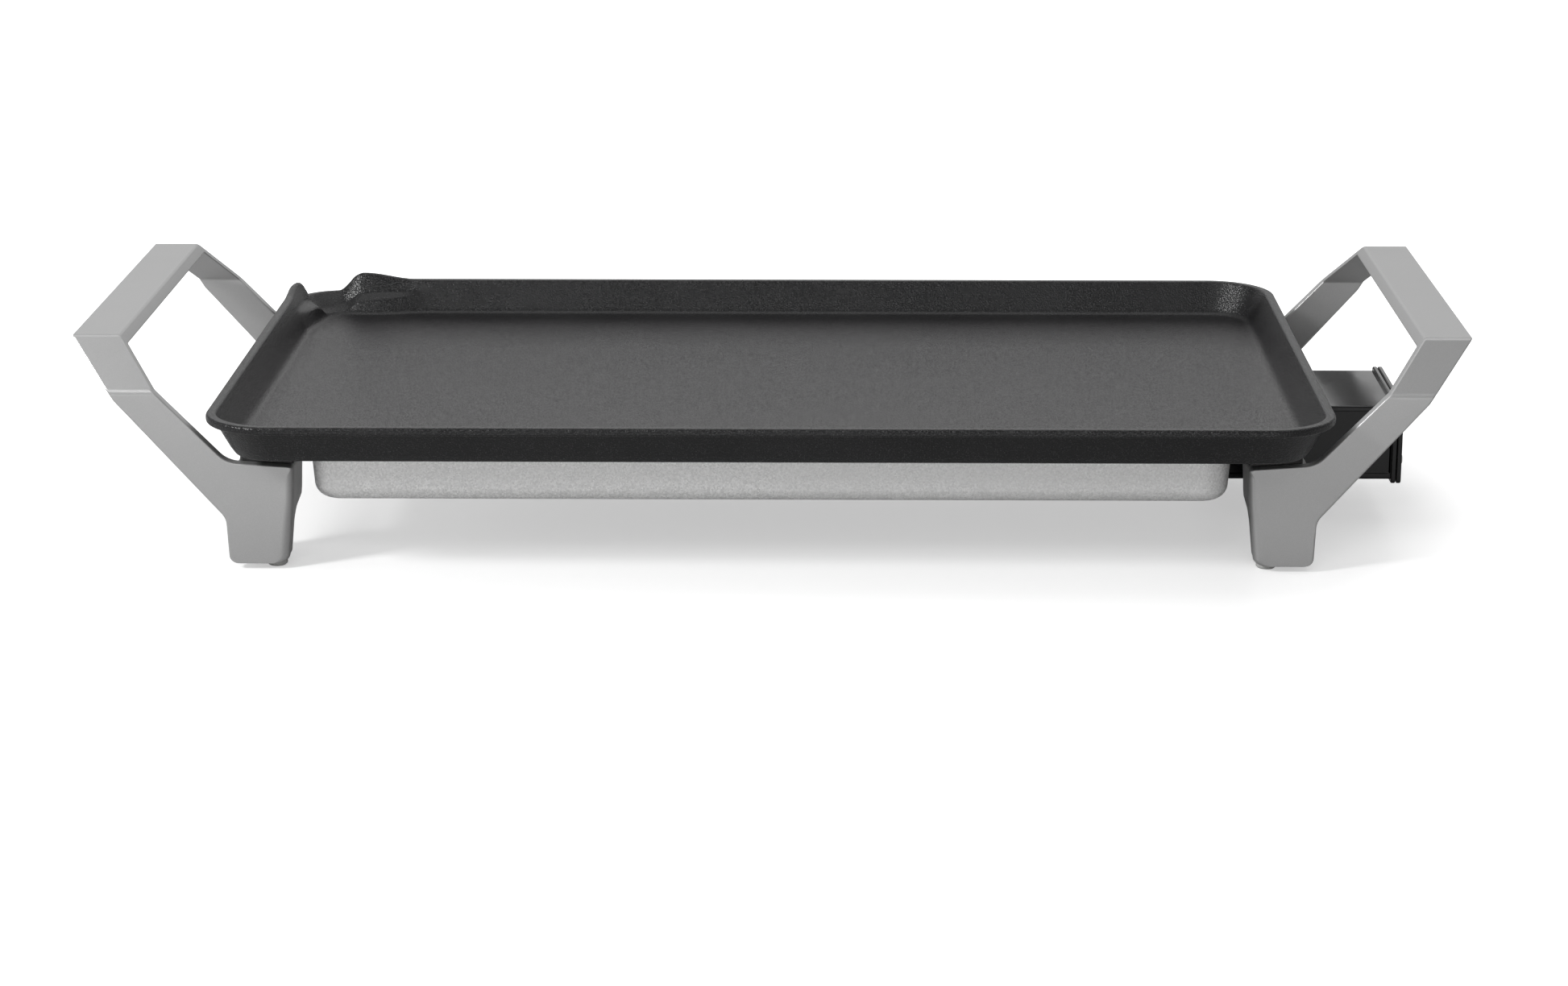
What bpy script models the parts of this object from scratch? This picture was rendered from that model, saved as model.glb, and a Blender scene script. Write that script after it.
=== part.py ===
"""Electric table griddle: a non-stick plate on two cast handle frames, with a
clamped heating element, a steel heat shield and a plug-in thermostat control.

The design is written in millimetres and turned into metres as each mesh is
made.  X runs along the plate, Y from the front edge to the back edge, Z up.
The origin is on the table, under the middle of the plate.
"""
import math

import bmesh
import bpy
from mathutils import Matrix, Vector

MM = 0.001
GAP = 0.3                 # clearance between pieces that rest on each other

# Plate
PLATE_HALF_X = 300.0
PLATE_HALF_Y = 180.0
CORNER_R = 38.0
RIM_Z = 89.4
FLOOR_Z = 70.8
PLATE_UNDER_Z = 67.2
SPOUT_DROP = 7.6          # how far the pouring lip lies under the rim
SPOUT_FLARE = 4.0         # how far the pouring lip leans out
HORN_RISE = 2.6           # the rim rises to a point on each side of the lip
HORN_AT = 32.0            # distance along the rim from the lip's middle

# Handle frames
KNEE_Z = 98.5
GRIP_Z = 124.4
ARM_Y = 141.0             # outer face of the arms below the knee
GRIP_HALF_Y = 117.7
ARM_T = 6.6
GRIP_T = 5.4
GRIP_X = (349.4, 375.3)
KNEE_X = (328.3, 353.0)
LEG_UNDER_Z = 3.4
LEG_TOP_Z = 57.2
LEG_X = (255.0, 292.6)
LEG_WALL = 3.5
LEG_INNER_Y = 104.0       # the legs' upper parts reach in to here
LEG_SCREW = (270.5, 120.0)
FOOT_AT = (267.5, 130.0)
FOOT_R = 5.5

# Heat shield
SHIELD_HALF = (247.0, 146.0)
SHIELD_UNDER_Z = 39.2
SHEET_T = 0.8
SHIELD_SCREW = (150.0, 75.0)

# Heating element
TUBE_R = 3.3
TUBE_Z = PLATE_UNDER_Z - GAP - TUBE_R
RUN_OUTER_Y = 110.0
RUN_INNER_Y = 40.0
RUN_LEFT_X = -205.0
RUN_RIGHT_X = 186.0
LOOP_RIGHT_X = 130.0
PIN_Y = 15.0
PIN_Z = 50.2
PIN_R = 2.0
CLAMPS = ((0.0, -RUN_OUTER_Y), (0.0, RUN_OUTER_Y), (-40.0, -RUN_INNER_Y), (-40.0, RUN_INNER_Y))
CLAMP_REACH = 12.0

# Socket housing and plug-in control
SOCKET_X = (248.6, 349.2)
SOCKET_HALF_Y = 42.0
SOCKET_Z = (24.3, 66.8)
SOCKET_WALL = 2.0
RIB_X = 346.5
RIB_OVER = 2.0
SOCKET_SCREW_Y = 33.0
SOCKET_SCREW_Z = 46.0
BEZEL_X = (349.5, 352.2)
SHELL_X = (264.0, 349.1)
SHELL_HALF_Y = 38.6
SHELL_Z = (27.5, 63.6)
SHELL_SPLIT_Z = 45.5
SHELL_WALL = 2.2
PROBE_Z = 58.4
PROBE_R = 2.4
PROBE_TIP_X = 206.0
DIAL_AT = (8.0, 45.5)     # Y and Z of the dial's axis
DIAL_R = 13.5
DIAL_X = (344.9, 358.4)
WELL_R = 14.2
LAMP_AT = (-24.0, 56.0)
GLAND_AT = (30.8, 35.4)
BEZEL_SCREWS = ((-33.0, 34.0), (33.0, 57.0))
LEAF_ROOT_X = 300.3
LEAF_TIP_X = 330.0


def clear_scene():
    """Remove every object that the file already holds."""
    for obj in list(bpy.data.objects):
        bpy.data.objects.remove(obj, do_unlink=True)


def finish(name, color, roughness, metallic):
    """A Principled material with one colour, roughness and metallic value."""
    material = bpy.data.materials.new(name)
    material.use_nodes = True
    shader = material.node_tree.nodes["Principled BSDF"]
    shader.inputs["Base Color"].default_value = (*color, 1.0)
    shader.inputs["Roughness"].default_value = roughness
    shader.inputs["Metallic"].default_value = metallic
    return material


def make_finishes():
    """All the finishes, by the name that the pieces use."""
    return {
        "nonstick": finish("nonstick", (0.018, 0.018, 0.019), 0.45, 0.0),
        "silver": finish("silver_paint", (0.42, 0.42, 0.42), 0.38, 0.6),
        "steel": finish("aluminised_steel", (0.55, 0.55, 0.54), 0.42, 0.9),
        "bright": finish("bright_steel", (0.60, 0.60, 0.60), 0.25, 1.0),
        "sheath": finish("element_sheath", (0.22, 0.20, 0.18), 0.5, 0.8),
        "brass": finish("brass", (0.62, 0.46, 0.18), 0.3, 1.0),
        "ceramic": finish("ceramic", (0.80, 0.77, 0.70), 0.6, 0.0),
        "gloss": finish("gloss_black", (0.008, 0.008, 0.009), 0.12, 0.0),
        "matte": finish("matte_black", (0.02, 0.02, 0.02), 0.6, 0.0),
        "rubber": finish("grey_rubber", (0.55, 0.55, 0.54), 0.75, 0.0),
        "amber": finish("amber_lens", (0.80, 0.25, 0.04), 0.1, 0.0),
        "glass": finish("lamp_glass", (0.85, 0.85, 0.82), 0.05, 0.0),
    }


def add_object(name, bm, material=None):
    """Turn a bmesh in millimetres into an object in metres."""
    bmesh.ops.remove_doubles(bm, verts=bm.verts, dist=0.0005)
    bmesh.ops.recalc_face_normals(bm, faces=bm.faces)
    bmesh.ops.scale(bm, vec=(MM, MM, MM), verts=bm.verts)
    mesh = bpy.data.meshes.new(name)
    bm.to_mesh(mesh)
    bm.free()
    obj = bpy.data.objects.new(name, mesh)
    bpy.context.scene.collection.objects.link(obj)
    if material:
        mesh.materials.append(material)
    return obj


def soften(obj, width, segments=2, angle=30.0):
    """Round an object's sharp edges by width millimetres."""
    bevel = obj.modifiers.new("round", "BEVEL")
    bevel.width = width * MM
    bevel.segments = segments
    bevel.limit_method = "ANGLE"
    bevel.angle_limit = math.radians(angle)
    bevel.use_clamp_overlap = True
    return obj


def smooth(obj):
    """Shade an object smooth, except across its sharp edges."""
    obj.data.shade_smooth()
    obj.data.set_sharp_from_angle(angle=math.radians(35.0))
    return obj


def combine(target, tool, operation):
    """Join a tool to the target, or cut it out, and keep the tool as a guide.

    A tool may be several solids that run into each other.
    """
    modifier = target.modifiers.new(tool.name, "BOOLEAN")
    modifier.operation = operation
    modifier.solver = "EXACT"
    modifier.use_self = True
    modifier.object = tool
    tool.hide_render = True
    tool.display_type = "WIRE"
    return target


def join(target, tool):
    return combine(target, tool, "UNION")


def cut(target, tool):
    return combine(target, tool, "DIFFERENCE")


def add_prism(bm, outline, axis, start, end):
    """Extrude a closed outline along axis, from start to end.

    The outline's two numbers are Y and Z for axis X, X and Z for axis Y, and X
    and Y for axis Z.
    """
    place = {"X": lambda a, b, h: (h, a, b), "Y": lambda a, b, h: (a, h, b), "Z": lambda a, b, h: (a, b, h)}[axis]
    face = bm.faces.new([bm.verts.new(place(a, b, start)) for a, b in outline])
    swept = bmesh.ops.extrude_face_region(bm, geom=[face], use_keep_orig=True)
    moved = [item for item in swept["geom"] if isinstance(item, bmesh.types.BMVert)]
    step = Vector(place(0.0, 0.0, end)) - Vector(place(0.0, 0.0, start))
    bmesh.ops.translate(bm, vec=step, verts=moved)
    return bm


def add_box(bm, x, y, z):
    """A box between the given X, Y and Z pairs."""
    return add_prism(bm, [(x[0], y[0]), (x[1], y[0]), (x[1], y[1]), (x[0], y[1])], "Z", z[0], z[1])


def box(name, x, y, z, material=None):
    return add_object(name, add_box(bmesh.new(), x, y, z), material)


def add_turning(bm, profile, axis, centre, steps=20):
    """Spin a profile of (radius, height) points round an axis through centre.

    The profile is a closed outline where it stays off the axis; where its ends
    have radius 0 they become the poles.
    """
    older = set(bm.verts)
    start = [bm.verts.new((radius, 0.0, height)) for radius, height in profile]
    edges = [bm.edges.new(pair) for pair in zip(start, start[1:])]
    if profile[0][0] > 0.0:
        edges.append(bm.edges.new((start[-1], start[0])))
    bmesh.ops.spin(bm, geom=start + edges, axis=(0, 0, 1), cent=(0, 0, 0), steps=steps,
                   angle=math.tau, use_merge=True, use_duplicate=False)
    turned = {"X": Matrix.Rotation(math.pi / 2, 4, "Y"), "Y": Matrix.Rotation(-math.pi / 2, 4, "X"),
              "Z": Matrix.Identity(4)}[axis]
    fresh = [vert for vert in bm.verts if vert not in older]
    bmesh.ops.transform(bm, matrix=Matrix.Translation(centre) @ turned, verts=fresh)
    return bm


def turning(name, profile, axis, centre, material=None, steps=20):
    return smooth(add_object(name, add_turning(bmesh.new(), profile, axis, centre, steps), material))


def rod(radius, start, end):
    """The profile of a plain rod."""
    return [(0.0, start), (radius, start), (radius, end), (0.0, end)]


def tube(inner, outer, start, end):
    """The profile of a plain tube."""
    return [(inner, start), (outer, start), (outer, end), (inner, end)]


def screw_profile(head_r, head_h, shank_r, shank_length):
    """A pan-head screw: the head below height 0, the shank above it."""
    return [(0.0, -head_h), (head_r * 0.6, -head_h), (head_r * 0.92, -head_h * 0.65), (head_r, -head_h * 0.2),
            (head_r, 0.0), (shank_r, 0.0), (shank_r, shank_length - shank_r), (0.0, shank_length)]


def eased(low, high, value):
    """0 below low, 1 above high, and a smooth step between them."""
    t = min(max((value - low) / (high - low), 0.0), 1.0)
    return t * t * (3.0 - 2.0 * t)


# ---------------------------------------------------------------- plate

def plate_stations():
    """Directions and centres round the plate's outline, anticlockwise from the front right.

    Each station is (centre x, centre y, unit x, unit y, distance along the rim
    from the middle of the pouring lip); an outline point lies at
    centre + (CORNER_R - inset) * unit.
    """
    cx, cy = PLATE_HALF_X - CORNER_R, PLATE_HALF_Y - CORNER_R
    far = 1000.0
    stations = []
    for sx, sy, first in ((1, -1, 270), (1, 1, 0)):
        for step in range(7):
            angle = math.radians(first + 90.0 * step / 6)
            stations.append((sx * cx, sy * cy, math.cos(angle), math.sin(angle), far))
    arc = CORNER_R * math.pi / 4
    ramps = (60.0, 44.0, 32.0, 23.0, 16.0, 10.0, 6.0, 3.0)
    stations += [(-cx + ramp, cy, 0.0, 1.0, arc + ramp) for ramp in ramps]
    corner_steps = 20
    for step in range(corner_steps + 1):
        angle = math.radians(90.0 + 90.0 * step / corner_steps)
        stations.append((-cx, cy, math.cos(angle), math.sin(angle), abs(CORNER_R * (angle - math.radians(135)))))
    stations += [(-cx, cy - ramp, -1.0, 0.0, arc + ramp) for ramp in reversed(ramps)]
    for step in range(7):
        angle = math.radians(180.0 + 90.0 * step / 6)
        stations.append((-cx, -cy, math.cos(angle), math.sin(angle), far))
    return stations


def plate_loop(stations, inset, z):
    """One loop round the plate; the spout lowers and flares the points near the rim."""
    weight = min(max((z - FLOOR_Z) / (RIM_Z - FLOOR_Z), 0.0), 1.0)
    points = []
    for cx, cy, ux, uy, along in stations:
        lip = 1.0 - eased(15.0, 29.5, along)
        horn = eased(22.0, HORN_AT, along) * (1.0 - eased(HORN_AT, HORN_AT + 34.0, along))
        reach = CORNER_R - inset + SPOUT_FLARE * lip * weight * 2.0 * abs(ux * uy)
        lift = (HORN_RISE * horn - SPOUT_DROP * lip) * weight
        points.append((cx + reach * ux, cy + reach * uy, z + lift))
    return points


def make_plate(finishes):
    """The cast plate: flat floor, leaning wall, thick rim, pouring spout and cast posts."""
    stations = plate_stations()
    profile = ((17.5, PLATE_UNDER_Z), (14.6, 68.3), (12.6, 70.6), (5.2, 84.0), (3.6, 84.9), (0.7, 85.2),
               (0.0, 86.2), (0.0, 88.2), (1.2, RIM_Z), (4.4, RIM_Z), (5.5, 88.6), (12.2, 76.2),
               (14.6, 72.6), (19.0, FLOOR_Z))
    bm = bmesh.new()
    rings = [[bm.verts.new(point) for point in plate_loop(stations, inset, z)] for inset, z in profile]
    count = len(stations)
    for lower, upper in zip(rings, rings[1:]):
        for i in range(count):
            j = (i + 1) % count
            bm.faces.new((lower[i], lower[j], upper[j], upper[i]))
    bm.faces.new(rings[0])
    bm.faces.new(rings[-1])
    plate = smooth(add_object("griddle_plate", bm, finishes["nonstick"]))

    posts, holes = bmesh.new(), bmesh.new()
    root = PLATE_UNDER_Z + 1.0
    for sx in (-1, 1):
        for sy in (-1, 1):
            leg = (sx * LEG_SCREW[0], sy * LEG_SCREW[1], 0.0)
            add_turning(posts, rod(5.4, 61.6, root), "Z", leg, 12)
            add_turning(holes, rod(2.2, 60.0, 68.6), "Z", leg, 12)
            shield = (sx * SHIELD_SCREW[0], sy * SHIELD_SCREW[1], 0.0)
            add_turning(posts, rod(5.0, SHIELD_UNDER_Z + SHEET_T + GAP, root), "Z", shield, 12)
            add_turning(holes, rod(1.9, 30.0, 54.0), "Z", shield, 12)
    for x, y in CLAMPS:
        post = (x, y + CLAMP_REACH, 0.0)
        add_turning(posts, rod(4.0, 60.2, root), "Z", post, 10)
        add_turning(holes, rod(1.7, 58.0, 66.4), "Z", post, 12)
    join(plate, add_object("plate_posts", posts))
    join(plate, box("probe_well_block", (198.0, 236.0), (-7.5, 7.5), (54.2, root)))
    cut(plate, add_object("plate_post_holes", holes))
    bore = add_turning(bmesh.new(), rod(PROBE_R + 0.5, 202.0, 240.0), "X", (0.0, 0.0, PROBE_Z), 16)
    cut(plate, add_object("probe_well_bore", bore))
    return plate


# ---------------------------------------------------------------- heating element

def filleted(points, radii, steps):
    """The polyline through points with each inner corner turned on an arc."""
    path = [Vector(points[0])]
    for before, corner, after, radius in zip(points, points[1:], points[2:], radii):
        corner = Vector(corner)
        back = (Vector(before) - corner).normalized()
        ahead = (Vector(after) - corner).normalized()
        half = back.angle(ahead) / 2.0
        centre = corner + (back + ahead).normalized() * (radius / math.sin(half))
        first = corner + back * (radius / math.tan(half)) - centre
        last = corner + ahead * (radius / math.tan(half)) - centre
        sweep = first.angle(last)
        for step in range(steps + 1):
            t = sweep * step / steps
            path.append(centre + (first * math.sin(sweep - t) + last * math.sin(t)) / math.sin(sweep))
    path.append(Vector(points[-1]))
    return path


def make_element(finishes):
    """The sheathed tube: four runs under the plate, with both ends led to the socket."""
    drop_x, end_x = 216.0, 238.0
    route = [(end_x, -PIN_Y, PIN_Z), (drop_x, -PIN_Y, PIN_Z), (RUN_RIGHT_X + 12, -PIN_Y, TUBE_Z),
             (RUN_RIGHT_X - 16, -PIN_Y, TUBE_Z), (RUN_RIGHT_X - 16, -RUN_OUTER_Y, TUBE_Z),
             (RUN_LEFT_X, -RUN_OUTER_Y, TUBE_Z), (RUN_LEFT_X, -RUN_INNER_Y, TUBE_Z),
             (LOOP_RIGHT_X, -RUN_INNER_Y, TUBE_Z)]
    radii = [8.0, 8.0, 14.0, 30.0, 34.0, 34.0, 39.0]
    route += [(x, -y, z) for x, y, z in reversed(route)]
    radii += list(reversed(radii))
    path = filleted(route, radii, 5)
    curve = bpy.data.curves.new("heating_element", "CURVE")
    curve.dimensions = "3D"
    curve.bevel_depth = TUBE_R * MM
    curve.bevel_resolution = 2
    curve.use_fill_caps = True
    spline = curve.splines.new("POLY")
    spline.points.add(len(path) - 1)
    for point, place in zip(spline.points, path):
        point.co = (place.x * MM, place.y * MM, place.z * MM, 1.0)
    element = bpy.data.objects.new("heating_element", curve)
    bpy.context.scene.collection.objects.link(element)
    curve.materials.append(finishes["sheath"])

    for side, y in (("front", -PIN_Y), ("rear", PIN_Y)):
        centre = (0.0, y, PIN_Z)
        turning(f"element_pin_{side}", [(0.0, 238.4), (PIN_R, 238.4), (PIN_R, 274.4), (1.2, 276.0), (0.0, 276.0)],
                "X", centre, finishes["bright"], 12)
        collar = [(PIN_R + GAP, 239.0), (5.2, 239.0), (5.2, 240.2), (7.0, 240.2), (7.0, 242.4), (5.2, 242.4),
                  (5.2, 253.0), (PIN_R + GAP, 253.0)]
        turning(f"pin_insulator_{side}", collar, "X", centre, finishes["ceramic"], 12)


def make_clamps(finishes):
    """A spring strip on a cast post presses each run of the element to the plate."""
    strip_z = (58.7, 59.9)
    for number, (x, y) in enumerate(CLAMPS, 1):
        strip = box(f"element_clamp_{number}", (x - 7, x + 7), (y - 7, y + CLAMP_REACH + 6), strip_z,
                    finishes["bright"])
        hole = add_turning(bmesh.new(), rod(2.0, 55.0, 62.0), "Z", (x, y + CLAMP_REACH, 0.0), 12)
        cut(strip, add_object(f"clamp_hole_{number}", hole))
        turning(f"clamp_screw_{number}", screw_profile(3.3, 2.0, 1.4, 7.0), "Z",
                (x, y + CLAMP_REACH, strip_z[0] - GAP), finishes["bright"], 10)


# ---------------------------------------------------------------- heat shield

def rounded_rectangle(half_x, half_y, radius, steps):
    points = []
    for sx, sy, first in ((1, -1, 270), (1, 1, 0), (-1, 1, 90), (-1, -1, 180)):
        for step in range(steps + 1):
            angle = math.radians(first + 90.0 * step / steps)
            points.append((sx * (half_x - radius) + radius * math.cos(angle),
                           sy * (half_y - radius) + radius * math.sin(angle)))
    return points


def make_shield(finishes):
    """The drawn steel tray: a leaning wall, a rounded foot and a hem at the top."""
    top = PLATE_UNDER_Z - GAP
    outside = ((11.0, 0.0), (6.0, 0.9), (3.2, 3.0), (1.9, 6.5))
    loops = [(inset, SHIELD_UNDER_Z + z) for inset, z in outside] + [(0.0, top)]
    inside = [(1.6, top), (1.6, top - 3.0), (1.0, top - 3.2)]
    inside += [(inset + SHEET_T, SHIELD_UNDER_Z + z + (SHEET_T if z < 2 else 0.4)) for inset, z in reversed(outside)]
    bm = bmesh.new()
    rings = []
    for inset, z in loops + inside:
        outline = rounded_rectangle(SHIELD_HALF[0] - inset, SHIELD_HALF[1] - inset, 17.0 - inset, 6)
        rings.append([bm.verts.new((x, y, z)) for x, y in outline])
    count = len(rings[0])
    for lower, upper in zip(rings, rings[1:]):
        for i in range(count):
            j = (i + 1) % count
            bm.faces.new((lower[i], lower[j], upper[j], upper[i]))
    bm.faces.new(rings[0])
    bm.faces.new(rings[-1])
    shield = smooth(add_object("heat_shield", bm, finishes["steel"]))
    holes = bmesh.new()
    for sx in (-1, 1):
        for sy in (-1, 1):
            place = (sx * SHIELD_SCREW[0], sy * SHIELD_SCREW[1], 0.0)
            add_turning(holes, rod(2.2, 35.0, 45.0), "Z", place, 12)
    for y in (-PIN_Y, PIN_Y):
        add_turning(holes, rod(5.6, 240.0, 260.0), "X", (0.0, y, PIN_Z), 16)
    for y in (-SOCKET_SCREW_Y, SOCKET_SCREW_Y):
        add_turning(holes, rod(2.0, 240.0, 260.0), "X", (0.0, y, SOCKET_SCREW_Z), 12)
    add_turning(holes, rod(3.4, 240.0, 260.0), "X", (0.0, 0.0, PROBE_Z), 16)
    cut(shield, add_object("shield_holes", holes))
    corners = [(sx, sy) for sx in (-1, 1) for sy in (-1, 1)]
    for number, (sx, sy) in enumerate(corners, 1):
        turning(f"shield_screw_{number}", screw_profile(4.0, 2.4, 1.6, 12.0), "Z",
                (sx * SHIELD_SCREW[0], sy * SHIELD_SCREW[1], SHIELD_UNDER_Z - GAP), finishes["bright"], 10)


# ---------------------------------------------------------------- handle frames

def arc_points(centre, radius, first, last, steps):
    """Points on an arc, with angles in degrees."""
    turn = [math.radians(first + (last - first) * step / steps) for step in range(steps + 1)]
    return [(centre[0] + radius * math.cos(angle), centre[1] + radius * math.sin(angle)) for angle in turn]


def leg_outline():
    """Leg and lower arm of the right-hand frame in X and Z, from the inner knee anticlockwise."""
    points = [(KNEE_X[0], KNEE_Z), (297.4, 66.4)]
    points += arc_points((292.2, 71.4), 11.6, 288.0, 264.0, 3)[1:]
    points += [(LEG_X[0] + 0.4, 57.4), (256.4, 36.5), (259.4, 8.6)]
    points += arc_points((264.4, LEG_UNDER_Z + 4.4), 4.4, 190.0, 270.0, 4)
    points += arc_points((287.2, LEG_UNDER_Z + 4.4), 4.4, 270.0, 352.0, 4)
    points += [(292.5, 25.0)]
    points += arc_points((302.0, 24.6), 9.6, 172.0, 138.0, 3)
    points += [(350.0, 93.4), (KNEE_X[1], KNEE_Z)]
    return points


def add_frame_skin(bm):
    """Grip, arms and the legs' outer faces in one closed surface."""
    outline = leg_outline()
    last = len(outline) - 1
    upper = {}
    for side in (-1, 1):
        outer = [bm.verts.new((x, side * ARM_Y, z)) for x, z in outline]
        inner = [bm.verts.new((x, side * (ARM_Y - ARM_T), z)) for x, z in outline]
        bm.faces.new(outer)
        bm.faces.new(inner)
        for i in range(last):
            bm.faces.new((outer[i], outer[i + 1], inner[i + 1], inner[i]))
        lean = (GRIP_X[0] - KNEE_X[0]) / (GRIP_Z - KNEE_Z)
        rise = (ARM_Y - GRIP_HALF_Y) / (GRIP_Z - KNEE_Z)
        under_y = ARM_Y - ARM_T - rise * (GRIP_Z - GRIP_T - KNEE_Z)
        top = [bm.verts.new((x, side * GRIP_HALF_Y, GRIP_Z)) for x in GRIP_X]
        under = [bm.verts.new((x - lean * GRIP_T, side * under_y, GRIP_Z - GRIP_T)) for x in GRIP_X]
        bm.faces.new((outer[0], outer[last], top[1], top[0]))
        bm.faces.new((inner[0], inner[last], under[1], under[0]))
        bm.faces.new((outer[0], top[0], under[0], inner[0]))
        bm.faces.new((outer[last], top[1], under[1], inner[last]))
        upper[side] = (top, under)
    (top_f, under_f), (top_b, under_b) = upper[-1], upper[1]
    bm.faces.new((top_f[0], top_f[1], top_b[1], top_b[0]))
    bm.faces.new((under_f[0], under_f[1], under_b[1], under_b[0]))
    bm.faces.new((top_f[0], under_f[0], under_b[0], top_b[0]))
    bm.faces.new((top_f[1], under_f[1], under_b[1], top_b[1]))
    round_legs(bm)
    return bm


def round_legs(bm):
    """A wide round on the upright edge of each leg that faces the middle of the griddle."""
    edges = []
    for edge in bm.edges:
        middle = (edge.verts[0].co + edge.verts[1].co) / 2.0
        upright = abs(edge.verts[0].co.z - edge.verts[1].co.z) > 15.0
        if upright and middle.x < 262.0 and abs(middle.y) > ARM_Y - 0.1:
            edges.append(edge)
    bmesh.ops.bevel(bm, geom=edges, offset=4.6, segments=4, profile=0.5, affect="EDGES")


def make_frame(name, side, finishes):
    """One cast frame, mirrored for the left side: hollow legs, screw bosses and foot holes."""
    skin = add_frame_skin(bmesh.new())
    legs, hollows, bosses, holes = bmesh.new(), bmesh.new(), bmesh.new(), bmesh.new()
    inner_x = (LEG_X[0] + 0.6, LEG_X[1] - 1.6)
    for sy in (-1, 1):
        block = [(inner_x[0], LEG_TOP_Z), (257.0, 36.5), (260.4, 6.0), (263.6, LEG_UNDER_Z + 0.2),
                 (288.0, LEG_UNDER_Z + 0.2), (290.6, 9.0), (inner_x[1], 26.0), (inner_x[1], LEG_TOP_Z)]
        add_prism(legs, block, "Y", sy * (ARM_Y - 6.0), sy * LEG_INNER_Y)
        add_turning(bosses, rod(6.0, 36.0, LEG_TOP_Z - 1.5), "Z", (LEG_SCREW[0], sy * LEG_SCREW[1], 0.0), 16)
        hollow = [(inner_x[0] + LEG_WALL + 0.6, LEG_TOP_Z - 3.8), (263.0, 24.0), (264.2, LEG_UNDER_Z + 4.6),
                  (287.0, LEG_UNDER_Z + 4.6), (287.6, LEG_TOP_Z - 3.8)]
        add_prism(hollows, hollow, "Y", sy * (ARM_Y - 3.6), sy * (LEG_INNER_Y - 6.0))
        heel = [(sy * 126.0, -5.0), (sy * 126.0, 25.0), (sy * 121.0, 30.0), (sy * 98.0, 33.5), (sy * 98.0, -5.0)]
        add_prism(hollows, heel, "X", 240.0, 300.0)
        add_turning(holes, rod(2.4, 30.0, 62.0), "Z", (LEG_SCREW[0], sy * LEG_SCREW[1], 0.0), 12)
        add_turning(holes, rod(2.5, 0.0, 12.0), "Z", (FOOT_AT[0], sy * FOOT_AT[1], 0.0), 12)
    if side < 0:
        for bm in (skin, legs, hollows, bosses, holes):
            bmesh.ops.scale(bm, vec=(-1.0, 1.0, 1.0), verts=bm.verts)
    frame = soften(add_object(name, skin, finishes["silver"]), 1.1)
    join(frame, add_object(f"{name}_leg_blocks", legs))
    cut(frame, add_object(f"{name}_leg_hollows", hollows))
    join(frame, add_object(f"{name}_bosses", bosses))
    cut(frame, add_object(f"{name}_holes", holes))
    return smooth(frame)


def make_leg_fittings(finishes):
    """Insulating spacer, long screw and push-in foot for each leg."""
    for side_name, sx in (("left", -1), ("right", 1)):
        for end_name, sy in (("front", -1), ("back", 1)):
            where = f"{side_name}_{end_name}"
            x = sorted((sx * 256.2, sx * 285.0))
            y = sorted((sy * (ARM_Y - ARM_T - GAP), sy * 105.0))
            spacer = box(f"heat_spacer_{where}", x, y, (LEG_TOP_Z + GAP, PLATE_UNDER_Z - GAP), finishes["matte"])
            soften(spacer, 1.5, 1)
            at = (sx * LEG_SCREW[0], sy * LEG_SCREW[1], 0.0)
            hole = add_turning(bmesh.new(), rod(5.8, 50.0, 75.0), "Z", at, 16)
            cut(spacer, add_object(f"spacer_hole_{where}", hole))
            turning(f"leg_screw_{where}", screw_profile(4.4, 2.8, 1.9, 32.2), "Z",
                    (at[0], at[1], 36.0 - GAP), finishes["bright"], 10)
            foot = [(0.0, 0.0), (FOOT_R - 0.8, 0.0), (FOOT_R, 0.8), (FOOT_R, LEG_UNDER_Z - GAP),
                    (2.2, LEG_UNDER_Z - GAP), (2.2, 8.5), (3.0, 9.1), (1.4, 12.0), (0.0, 12.0)]
            turning(f"foot_{where}", foot, "Z", (sx * FOOT_AT[0], sy * FOOT_AT[1], 0.0), finishes["rubber"], 12)


# ---------------------------------------------------------------- socket housing

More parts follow.
